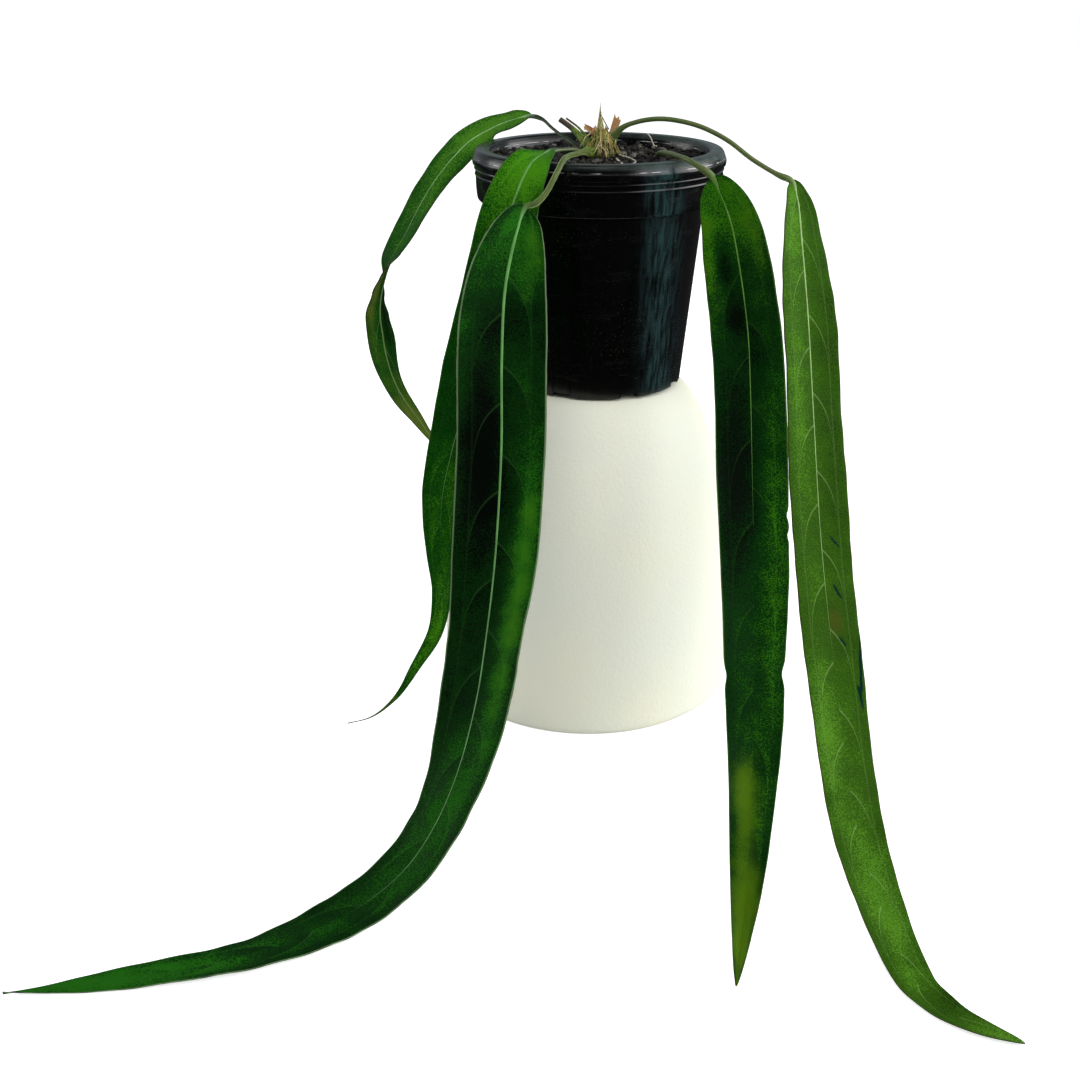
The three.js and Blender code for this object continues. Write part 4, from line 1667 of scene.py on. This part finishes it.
@dataclass(frozen=True)
class Notch:
    """A nick in a blade's margin: side is 1 or -1, depth a share of the half width."""

    along: float
    side: int
    length: float
    depth: float

    def weight(self, along: float, across: float) -> float:
        """Returns the share of the half width that is missing at a place."""
        gone = (along - self.along) / self.length
        return self.depth * math.exp(-gone * gone) if across * self.side > 0 else 0.0


@dataclass(frozen=True)
class Ripple:
    """Waves of a blade: height and length in millimetres, and where they start."""

    height: float
    length: float
    phase: float
    edge: float = 0.6
    edge_length: float = 26.0


@dataclass
class Leaf:
    """One leaf: a round stalk that widens into a strap blade and runs on as its midrib."""

    name: str
    petiole: Points
    radii: Triple
    blade: Points
    facings: tuple[tuple[float, float, float, float], ...]
    half_width: float
    base_length: float
    taper: Triple
    fold: Pair
    ripple: Ripple
    finish: BladeFinish
    petiole_colour: Colour
    patches: tuple[Patch, ...] = ()
    slits: tuple[Slit, ...] = ()
    notches: tuple[Notch, ...] = ()
    dry_base: float = 0.0
    flare: float = 0.0
    # How strongly the stalk's sides are painted with pale highlight stripes.
    ridge: float = 0.25
    thickness: float = 0.6
    rib: Pair = (1.0, 0.3)
    rib_start: float = 10.0
    rib_swell: float = 26.0
    columns: int = 36
    around: int = 20
    path: Path = field(init=False)
    joint: float = field(init=False)

    def __post_init__(self) -> None:
        """Measures the leaf's path."""
        self.path = Path((*self.petiole, *self.blade))
        self.joint = self.path.knot_distance(len(self.petiole) - 1)

    @property
    def blade_length(self) -> float:
        """The blade's length along its midrib."""
        return self.path.length - self.joint

    def facing_at(self, share: float) -> Vector:
        """Finds where the upper side looks.

        Args:
            share: The share of the blade's length.

        Returns:
            The direction, with a length of 1.
        """
        after = next((i for i, f in enumerate(self.facings) if f[0] >= share), len(self.facings) - 1)
        after = max(1, after)
        start, end = self.facings[after - 1], self.facings[after]
        part = smooth(start[0], end[0], share)
        return Vector(start[1:]).lerp(Vector(end[1:]), part).normalized()

    def section(self, distance: float) -> Section:
        """Returns the cross-section at a distance past the joint, negative on the stalk."""
        share = min(1.0, max(0.0, distance / self.blade_length))
        return Section.on(self.path, distance + self.joint, self.facing_at(share))

    def half_width_at(self, distance: float) -> float:
        """Finds half of the blade's width, without its notches.

        Args:
            distance: The distance past the joint.

        Returns:
            The half width.
        """
        base = min(max(distance, 0.0) / self.base_length, 1.0)
        start, power, roundness = self.taper
        tip = min(1.0, max(0.0, (distance / self.blade_length - start) / (1 - start)))
        return self.half_width * math.sqrt(1 - (1 - base) ** 2) * (1 - tip**power) ** roundness

    def surface(self, distance: float, across: float) -> Vector:
        """Finds a point on the middle of the blade's thickness, folded and rippled.

        Args:
            distance: The distance past the joint.
            across: The share of the half width, -1 to 1.

        Returns:
            The point, which stays above the ground.
        """
        section = self.section(distance)
        share = distance / self.blade_length
        width = self.half_width_at(distance)
        width *= 1 - sum(notch.weight(share, across) for notch in self.notches) * across**4
        fold = blend(*self.fold, smooth(0.1, 0.6, share))
        ripple = self.ripple
        side = math.copysign(1, across)
        turn = distance / ripple.length * 2 * math.pi + ripple.phase + side * (across != 0)
        quick = distance / ripple.edge_length * 2 * math.pi + 2.3 * side
        quick += 2.2 * noise.noise(Vector((distance * 0.02, ripple.phase, 0.5)))
        rise = fold * width * abs(across) ** 1.3 + ripple.height * across**2 * math.sin(turn)
        rise += ripple.edge * min(1.0, width / 12) * across**4 * math.sin(quick)
        place = section.point(width * across, rise)
        place.z = max(place.z, FLOOR_GAP + self.thickness)
        return place

    def stalk_radius(self, distance: float) -> float:
        """Finds the radius of the stalk, or of the midrib past the joint.

        Args:
            distance: The distance past the joint, negative on the stalk.

        Returns:
            The radius.
        """
        crown, middle, joint = self.radii
        if distance <= 0:
            gone = distance + self.joint
            slim = blend(crown, middle, smooth(0, 26, gone))
            swell = 0.12 * joint * math.exp(-(((distance + 5) / 4) ** 2))
            return blend(slim, joint, smooth(self.joint - 14, self.joint - 3, gone)) + swell
        rib = blend(*self.rib, min(1.0, distance / self.blade_length) ** 0.7)
        rib *= blend(0.75, 1.0, smooth(self.rib_start, self.rib_swell, distance))
        return blend(joint, rib, smooth(0, self.rib_start, distance))

    def paint(self, distance: float, across: float) -> dict[str, float]:
        """Works out what the blade's material reads at a place.

        Args:
            distance: The distance past the joint.
            across: The share of the half width, -1 to 1.

        Returns:
            The values by name.
        """
        share = distance / self.blade_length
        # The patches' tones are painted light and shade.
        tone = sum(p.tone * p.weight(share, across) for p in self.patches)
        olive = sum(p.olive * p.weight(share, across) for p in self.patches)
        slit = max((s.weight(share, across) for s in self.slits), default=0.0)
        return {"across": across, "along": distance * MM, "tone": tone, "olive": olive, "slit": slit}

    def build(self, builder: Builder) -> None:
        """Makes the blade and the stalk.

        Args:
            builder: Stores the pieces.
        """
        self._blade(builder)
        self._stalk(builder)

    def _blade(self, builder: Builder) -> None:
        """Makes the blade as a fine bent sheet with real thickness.

        Args:
            builder: Stores the piece.
        """
        mesh = new_mesh("across", "along", "tone", "olive", "slit")
        start, end = 0.6, self.blade_length - 0.3

        def shape(u: float, v: float) -> Placed:
            """Places a vertex on the blade."""
            across = 2 * v - 1
            distance = blend(start, end, u)
            return builder.site.place(self.surface(distance, across)), self.paint(distance, across)

        add_sheet(mesh, int(end / 2.0), self.columns, shape)
        finish, effects = self.finish, builder.effects
        upper, lower = finish.upper(self.name, effects), finish.lower(self.name, effects)
        sides = [upper, lower, finish.edge(self.name)]
        blade = builder.piece(f"{self.name}_blade", mesh, sides, [self.name], self.name, even=False)
        thick = blade.modifiers.new("thickness", "SOLIDIFY")
        thick.thickness = self.thickness * MM
        thick.offset = 0
        thick.material_offset = 1
        thick.material_offset_rim = 2

    def _stalk(self, builder: Builder) -> None:
        """Makes the stalk, which runs on under and over the blade as its midrib.

        Args:
            builder: Stores the piece.
        """
        mesh = new_mesh("blade", "tip", "dry", "ridge")
        whole = self.path.length - 1.5

        def shape(u: float, angle: float) -> Placed:
            """Places a vertex on the stalk, which sinks into the blade past the joint."""
            gone = whole * u
            distance = gone - self.joint
            radius = self.stalk_radius(distance)
            wide = 1 + self.flare * math.exp(-((gone / 9) ** 2))
            sunk = 0.45 * radius * smooth(0, 10, distance)
            x, y = radius * wide * math.cos(angle), radius * math.sin(angle) - sunk
            place = self.section(distance).point(x, y)
            place.z = max(place.z, FLOOR_GAP)
            dry = smooth(self.dry_base + 1.5, self.dry_base, gone) if self.dry_base else 0.0
            return builder.site.place(place), {
                "blade": smooth(-6, 8, distance),
                "tip": smooth(0.05, 0.8, distance / self.blade_length),
                "dry": dry,
                "ridge": self.ridge * smooth(0.8, 0.98, abs(math.cos(angle))) * smooth(2, -6, distance),
            }

        add_tube(mesh, int(whole / 1.8), self.around, shape)
        material = self.finish.stalk(self.name, self.petiole_colour, builder.effects)
        builder.piece(f"{self.name}_stalk", mesh, [material], [self.name], self.name)


def back_left() -> Leaf:
    """Describes the leaf at the back left, with the twist in its blade.

    Returns:
        The leaf.
    """
    return Leaf(
        name="leaf_back_left",
        petiole=(
            (-4.5, 4.5, 353),
            (-13, 6, 356.5),
            (-21.5, 13, 360.5),
            (-29.5, 22, 365),
            (-36, 30, 369.3),
            (-43, 34.5, 370.5),
        ),
        radii=(1.6, 0.95, 1.3),
        blade=(
            (-56.5, 40, 367),
            (-69.5, 47, 361),
            (-82.5, 44, 354),
            (-90.5, 37, 347),
            (-98, 29.5, 339),
            (-105, 23.5, 330),
            (-112, 17.5, 319),
            (-122, 9, 300.5),
            (-128.5, 4.5, 290),
            (-132.5, 0.5, 281.5),
            (-135.5, -2, 272),
            (-137.5, -4.5, 262.5),
            (-138, -7, 252),
            (-136.5, -9, 240),
            (-134.5, -11, 227),
            (-130.5, -13, 213),
            (-124, -15, 200),
            (-115, -17, 187.5),
            (-108, -19, 177.5),
            (-100, -20, 166.5),
        ),
        facings=(
            (0, 0.12, -0.65, 0.8),
            (0.1, 0.12, -0.65, 0.85),
            (0.2, 0.1, -0.55, 0.9),
            (0.34, -0.4, -0.65, 0.45),
            (0.42, -0.65, -0.65, 0.15),
            (0.5, -0.8, -0.55, 0.1),
            (0.56, -1, -0.05, 0),
            (0.6, -1, 0.2, -0.05),
            (0.65, -0.85, 0.55, -0.15),
            (0.72, -0.65, 0.8, -0.2),
            (0.8, -0.8, 0.65, -0.15),
            (1, -0.8, 0.65, -0.15),
        ),
        half_width=10.8,
        base_length=38,
        taper=(0.58, 2, 0.9),
        fold=(0.02, 0.2),
        ripple=Ripple(0.5, 95, 0.4, 0.25),
        finish=BladeFinish(
            deep=linear(2, 24, 3),
            middle=linear(20, 74, 12),
            bright=linear(74, 130, 30),
            olive=linear(90, 106, 36),
            margin=linear(58, 44, 22),
            rib=linear(160, 205, 140),
            rib_tip=linear(110, 140, 74),
            vein=0.08,
            cell=0.3,
        ),
        petiole_colour=linear(34, 36, 26),
        patches=(
            Patch(0.1, 0, 0.24, 1.4, tone=0.9),
            Patch(0.4, 0.3, 0.1, 1.0, tone=0.3),
            Patch(0.64, -0.5, 0.13, 0.5, tone=-0.9),
            Patch(0.6, 0.7, 0.12, 0.45, tone=0.2, olive=0.7),
            Patch(0.95, 0, 0.2, 2, tone=0.3, olive=0.8),
        ),
        rib=(0.85, 0.4),
    )


def front_left() -> Leaf:
    """Describes the broad dark leaf at the front left, whose tip lies far out to the left.

    Returns:
        The leaf.
    """
    return Leaf(
        name="leaf_front_left",
        petiole=(
            (-3.5, -6.5, 352.5),
            (-8, -15, 355.5),
            (-13, -40, 358),
            (-17.5, -62, 359.7),
            (-20, -76, 359.4),
            (-23.5, -85, 353.5),
            (-29.5, -90, 343),
            (-35, -91.5, 338),
            (-40, -91.5, 336.5),
        ),
        radii=(2.5, 1.5, 1.6),
        blade=(
            (-44.5, -97.5, 325),
            (-51, -106, 295),
            (-52.8, -116.5, 256),
            (-52.6, -131, 207),
            (-55.5, -156, 146),
            (-59.8, -180, 105.6),
            (-63.2, -198, 83.5),
            (-71, -225, 56),
            (-82, -249, 35),
            (-96, -266, 19),
            (-114, -280, 8),
            (-132.5, -293, 3.4),
            (-151, -307, 2.6),
            (-174, -321, 2.4),
            (-210, -334, 2.3),
            (-248, -343.5, 2.1),
            (-284, -350.5, 1.6),
        ),
        facings=(
            (0, 0.3, -1, 0.45),
            (0.15, 0.1, -1, 0.45),
            (0.3, -0.05, -1, 0.4),
            (0.42, -0.4, -0.85, 0.45),
            (0.57, -0.55, -0.45, 0.7),
            (0.7, -0.15, -0.1, 1),
            (1, 0, 0, 1),
        ),
        half_width=25.3,
        base_length=82,
        taper=(0.2, 2.1, 0.9),
        fold=(0.22, 0.04),
        ripple=Ripple(1.3, 120, 0.0, 0.3),
        finish=BladeFinish(
            deep=linear(0, 6, 1),
            middle=linear(4, 42, 4),
            bright=linear(28, 92, 12),
            olive=linear(60, 114, 14),
            margin=linear(116, 142, 100),
            rib=linear(98, 160, 78),
            rib_tip=linear(92, 138, 86),
            vein=0.07,
            cell=0.5,
            spacing=0.05,
        ),
        petiole_colour=linear(86, 104, 40),
        patches=(
            Patch(0.02, -0.3, 0.08, 0.9, tone=0.65),
            Patch(0.04, 0.6, 0.07, 0.5, tone=0.6, olive=0.35),
            Patch(0.12, -0.85, 0.08, 0.3, tone=0.4),
            Patch(0.11, 0.1, 0.045, 1.0, tone=-0.55),
            Patch(0.22, -0.45, 0.1, 0.5, tone=-1.1),
            Patch(0.3, -0.2, 0.12, 0.7, tone=-0.7),
            Patch(0.3, 0.75, 0.12, 0.35, tone=0.8, olive=0.25),
            Patch(0.42, 0.6, 0.16, 0.4, tone=0.7, olive=0.35),
            Patch(0.45, -0.4, 0.08, 0.5, tone=-0.35),
            Patch(0.6, 0.0, 0.12, 1.5, tone=0.5),
            Patch(0.94, 0, 0.14, 2, tone=1.2),
        ),
        rib=(1.45, 0.3),
        ridge=0.9,
    )


def middle_left() -> Leaf:
    """Describes the leaf that hangs over the rim between the two other left ones.

    Returns:
        The leaf.
    """
    return Leaf(
        name="leaf_middle_left",
        petiole=((-7.2, -0.5, 352.5), (-13, -15, 356.5), (-19.5, -36, 359.8), (-28, -53.5, 361)),
        radii=(1.5, 1.3, 1.6),
        blade=(
            (-33.5, -65, 360),
            (-37.4, -71.5, 357.7),
            (-40.5, -76.5, 353.5),
            (-44.7, -79.5, 344.5),
            (-49.4, -81.5, 331),
            (-55, -83, 305),
            (-61.5, -86, 277),
            (-70, -88, 245),
            (-82.5, -90, 201),
            (-91, -92, 165),
            (-93.5, -93, 128),
            (-93, -94, 100),
            (-98, -95, 72),
            (-112, -95, 46),
            (-126, -94, 23),
            (-142, -92.5, 8),
            (-158, -91, 1.8),
        ),
        facings=(
            (0, -0.3, -0.4, 0.85),
            (0.08, -0.15, -0.8, 0.6),
            (0.15, -0.1, -0.95, 0.4),
            (0.3, -0.15, -1, 0.3),
            (0.7, -0.25, -1, 0.2),
            (1, -0.3, -0.8, 0.5),
        ),
        half_width=18.5,
        base_length=94,
        taper=(0.35, 1.2, 1.5),
        fold=(0.18, 0.14),
        ripple=Ripple(1.2, 105, 1.2, 0.3),
        finish=BladeFinish(
            deep=linear(1, 26, 2),
            middle=linear(8, 68, 5),
            bright=linear(66, 132, 14),
            olive=linear(78, 84, 28),
            margin=linear(70, 104, 48),
            rib=linear(110, 170, 84),
            rib_tip=linear(70, 120, 56),
            vein=0.07,
            cell=0.35,
        ),
        petiole_colour=linear(38, 40, 28),
        patches=(
            Patch(0.05, 0, 0.12, 2, tone=0.95),
            Patch(0.2, 0.5, 0.1, 0.8, tone=0.2),
            Patch(0.38, 0, 0.12, 1.5, tone=-0.15),
            Patch(0.56, 0, 0.1, 1.5, tone=0.2),
            Patch(0.72, 0.2, 0.08, 1, tone=0.5),
            Patch(0.8, 0, 0.08, 1.5, tone=0.4),
            Patch(1.0, 0, 0.14, 2, tone=0.1, olive=0.7),
        ),
        rib=(1.15, 0.3),
    )


def front_right() -> Leaf:
    """Describes the broad dark leaf at the front right, which grows from its own spot in the mix.

    Returns:
        The leaf.
    """
    return Leaf(
        name="leaf_front_right",
        petiole=(
            (35, 6, 345),
            (35.5, 2, 350.5),
            (37, -12, 355),
            (41, -33, 357.5),
            (45.5, -52, 358.6),
            (50, -64, 358.4),
            (54.5, -69, 356.5),
            (59.5, -70.5, 353.5),
            (64, -70.5, 350),
        ),
        radii=(1.8, 1.5, 1.9),
        blade=(
            (68.5, -76, 341.5),
            (74.5, -83, 327.5),
            (80, -91, 304),
            (85.5, -104, 269.5),
            (87.2, -114, 245),
            (88.7, -134, 204),
            (90, -166, 147.5),
            (89.6, -193, 110),
            (89, -214, 86),
            (86.8, -243, 57.5),
            (83.2, -273, 34),
            (78.4, -304, 14.2),
            (73.8, -331, 1.7),
        ),
        facings=(
            (0, -0.75, -1, 0.45),
            (0.16, -0.45, -1, 0.4),
            (0.35, -0.15, -1, 0.4),
            (0.5, 0.05, -1, 0.4),
            (1, 0, -0.7, 0.7),
        ),
        half_width=20,
        base_length=60,
        taper=(0.33, 1.9, 0.75),
        fold=(0.24, 0.18),
        ripple=Ripple(1.4, 84, 2.1, 0.4),
        finish=BladeFinish(
            deep=linear(0, 12, 1),
            middle=linear(3, 46, 4),
            bright=linear(48, 110, 7),
            olive=linear(66, 98, 6),
            margin=linear(64, 96, 36),
            rib=linear(96, 146, 50),
            rib_tip=linear(8, 40, 8),
            vein=0.06,
            cell=0.4,
        ),
        petiole_colour=linear(84, 98, 46),
        patches=(
            Patch(0.03, 0, 0.06, 2, tone=0.6, olive=0.1),
            Patch(0.08, 0.7, 0.07, 0.5, tone=0.5, olive=0.4),
            Patch(0.1, -0.85, 0.09, 0.3, tone=0.8, olive=0.4),
            Patch(0.12, -0.4, 0.025, 0.25, tone=-0.9),
            Patch(0.18, -0.3, 0.03, 0.35, tone=-0.9),
            Patch(0.22, 0.1, 0.07, 0.6, tone=-0.4),
            Patch(0.38, -0.45, 0.16, 0.7, tone=-1.1),
            Patch(0.5, 0.7, 0.3, 0.45, tone=0.45),
            Patch(0.77, -0.3, 0.06, 0.7, tone=0.2, olive=0.75),
            Patch(0.93, 0, 0.12, 1.5, tone=0.2, olive=0.9),
        ),
        notches=(
            Notch(0.43, 1, 0.006, 0.06),
            Notch(0.455, 1, 0.005, 0.05),
            Notch(0.625, 1, 0.012, 0.1),
            Notch(0.63, -1, 0.01, 0.07),
        ),
        dry_base=9.0,
        rib=(0.95, 0.25),
    )


def far_right() -> Leaf:
    """Describes the lighter leaf at the far right, whose tip folds over on the ground.

    Returns:
        The leaf.
    """
    return Leaf(
        name="leaf_far_right",
        petiole=(
            (4.8, -1, 352.5),
            (8, -2.5, 362),
            (14, -4, 368.6),
            (23, -4, 372),
            (34.5, -5, 373.8),
            (46, -5, 373),
            (61, -6, 369.4),
            (77, -8, 361.9),
            (92.5, -10, 351),
            (108.5, -12, 342.2),
            (116, -12.5, 339),
        ),
        radii=(3.0, 1.45, 1.8),
        blade=(
            (119.3, -20, 330),
            (122, -35, 305),
            (125.6, -57, 265.7),
            (128.7, -87, 214),
            (132.5, -126, 151.4),
            (137.3, -169, 98.3),
            (141, -211, 59),
            (145.5, -251, 30),
            (154.5, -295, 10),
            (160, -317, 3.6),
            (164.5, -331, 2.2),
            (179, -350, 1.9),
            (205, -364.5, 1.6),
        ),
        facings=(
            (0, 0.5, -1, 0.4),
            (0.5, 0.2, -1, 0.5),
            (0.8, 0.1, -0.75, 0.8),
            (0.9, 0, 0, 1),
            (1, 0, 0, 1),
        ),
        half_width=17.6,
        base_length=100,
        taper=(0.35, 1.9, 0.5),
        fold=(0.14, 0.06),
        ripple=Ripple(0.9, 100, 0.9, 0.4),
        finish=BladeFinish(
            deep=linear(22, 50, 3),
            middle=linear(46, 84, 10),
            bright=linear(80, 132, 30),
            olive=linear(72, 72, 20),
            margin=linear(70, 74, 28),
            rib=linear(150, 184, 108),
            rib_tip=linear(96, 144, 54),
            vein=0.3,
            cell=0.25,
        ),
        petiole_colour=linear(84, 98, 48),
        patches=(
            Patch(0.04, -0.5, 0.08, 0.8, tone=0.55),
            Patch(0.25, -0.6, 0.2, 0.5, tone=0.5),
            Patch(0.25, 0.6, 0.3, 0.5, tone=-0.3),
            Patch(0.5, 0.2, 0.04, 0.5, tone=-0.1, olive=0.5),
            Patch(0.62, -0.6, 0.1, 0.6, tone=0.8),
            Patch(0.8, 0.1, 0.12, 1, tone=0.7, olive=0.1),
            Patch(0.93, 0.3, 0.03, 1.5, tone=-0.5),
            Patch(0.99, 0, 0.05, 2, tone=0.5, olive=0.15),
        ),
        rib=(1.0, 0.3),
        slits=(
            Slit(0.41, 0.45, 0.011, 0.25),
            Slit(0.465, 0.4, 0.013, 0.2),
            Slit(0.52, 0.4, 0.009, 0.2),
            Slit(0.55, 0.9, 0.05, -0.1),
            Slit(0.58, 0.8, 0.02, 0.1),
        ),
        flare=0.7,
    )


# Stage


class LampRole(Enum):
    """The lamps round the object."""

    KEY = "key"
    FILL = "fill"
    SIDE = "side"
    TOP = "top"


@dataclass(frozen=True)
class Lamp:
    """A soft rectangular lamp; places and sizes in metres, power in watts."""

    role: LampRole
    place: Triple
    aim: Triple
    size: Pair
    power: float
    colour: Triple = (1.0, 1.0, 1.0)

    def build(self) -> None:
        """Makes the lamp."""
        data = bpy.data.lights.new(self.role.value, "AREA")
        data.shape = "RECTANGLE"
        data.size, data.size_y = self.size
        data.energy = self.power
        data.color = self.colour
        made = bpy.data.objects.new(self.role.value, data)
        made.location = self.place
        turned = (Vector(self.aim) - Vector(self.place)).to_track_quat("-Z", "Y")
        made.rotation_euler = turned.to_euler()
        bpy.context.scene.collection.objects.link(made)


@dataclass
class Studio:
    """The pale floor, the white surroundings, the lamps and the camera."""

    site: Site
    distance: float = 878.2
    height: float = 474.7
    yaw: float = -0.041
    pitch: float = 0.4075
    lens: float = 46.67
    lamps: tuple[Lamp, ...] = (
        Lamp(LampRole.KEY, (2.1, -1.0, 1.5), (0.04, 0.1, 0.25), (2.2, 2.2), 42.0),
        Lamp(LampRole.FILL, (-2.0, 0.5, 0.9), (0.04, 0.13, 0.25), (1.2, 1.2), 15.0),
        Lamp(LampRole.SIDE, (2.1, 0.5, 0.9), (0.04, 0.13, 0.25), (1.2, 1.2), 22.0),
        Lamp(LampRole.TOP, (0.0, -0.75, 1.75), (0.04, 0.1, 0.3), (0.9, 0.6), 7.0),
    )

    def build(self) -> None:
        """Makes the stage."""
        self._floor()
        self._world()
        for lamp in self.lamps:
            lamp.build()
        self._camera()

    @staticmethod
    def _floor() -> None:
        """Makes the pale floor, which shines less in the pot than it does to the eye."""
        mesh = bmesh.new()
        bmesh.ops.create_grid(mesh, x_segments=1, y_segments=1, size=6)
        data = bpy.data.meshes.new("floor")
        mesh.to_mesh(data)
        mesh.free()
        floor = bpy.data.objects.new("floor", data)
        bpy.context.scene.collection.objects.link(floor)
        made, graph = new_material("floor")
        rays = graph.node("ShaderNodeLightPath")
        colour = graph.mix(rays.outputs["Is Glossy Ray"], (0.9, 0.9, 0.91, 1), (0.03, 0.03, 0.03, 1))
        glow = graph.times(rays.outputs["Is Camera Ray"], 0.7)
        graph.surface(
            Base_Color=colour,
            Roughness=0.9,
            Specular_IOR_Level=0.05,
            Emission_Color=(1.0, 1.0, 1.0, 1.0),
            Emission_Strength=glow,
        )
        data.materials.append(made)

    @staticmethod
    def _world() -> None:
        """Makes the surroundings: white to the eye, and in reflections bright only at the back."""
        world = bpy.data.worlds.new("studio")
        world.use_nodes = True
        world.node_tree.nodes.clear()
        graph = Graph(world.node_tree)
        rays = graph.node("ShaderNodeLightPath")
        seen = graph.mix(rays.outputs["Is Camera Ray"], (0.38, 0.39, 0.4, 1), (1.0, 1.0, 1.0, 1))
        _, back, _ = graph.split(graph.node("ShaderNodeTexCoord").outputs["Generated"])
        shine = graph.mix(graph.remap(back, 0.2, 0.8), (0.05, 0.055, 0.06, 1), (0.38, 0.42, 0.45, 1))
        colour = graph.mix(rays.outputs["Is Glossy Ray"], seen, shine)
        sky = graph.node("ShaderNodeBackground", {"Color": colour, "Strength": 1.0})
        graph.node("ShaderNodeOutputWorld", {0: sky.outputs[0]})
        bpy.context.scene.world = world

    def _camera(self) -> None:
        """Makes the camera at the photograph's viewing angle."""
        data = bpy.data.cameras.new("camera")
        data.lens = self.lens
        data.sensor_width = 36.0
        data.clip_start, data.clip_end = 0.01, 100.0
        camera = bpy.data.objects.new("camera", data)
        camera.location = self.site.place(Vector((0, -self.distance, self.height)))
        ahead = Vector(
            (
                math.sin(self.yaw) * math.cos(self.pitch),
                math.cos(self.yaw) * math.cos(self.pitch),
                -math.sin(self.pitch),
            )
        )
        camera.rotation_euler = ahead.to_track_quat("-Z", "Y").to_euler()
        bpy.context.scene.collection.objects.link(camera)
        bpy.context.scene.camera = camera
        bpy.context.scene.view_settings.view_transform = "Standard"


def pot_site() -> Site:
    """Finds the pot's axis in the frame.

    Returns:
        Where it stands.
    """
    low, high = (Vector(corner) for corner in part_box("nursery_pot"))
    middle = (low + high) / 2
    return Site(middle.x, middle.y)


def main() -> None:
    """Builds every piece round the frame, then the stage."""
    logging.basicConfig(level=logging.INFO, format="%(message)s")
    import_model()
    builder = Builder(pot_site(), Effects())
    parts = [Planter(), NurseryPot(), PottingMix(), Crown()]
    parts += [back_left(), front_left(), middle_left(), front_right(), far_right()]
    for part in parts:
        part.build(builder)
    Studio(builder.site).build()


if __name__ == "__main__":
    main()
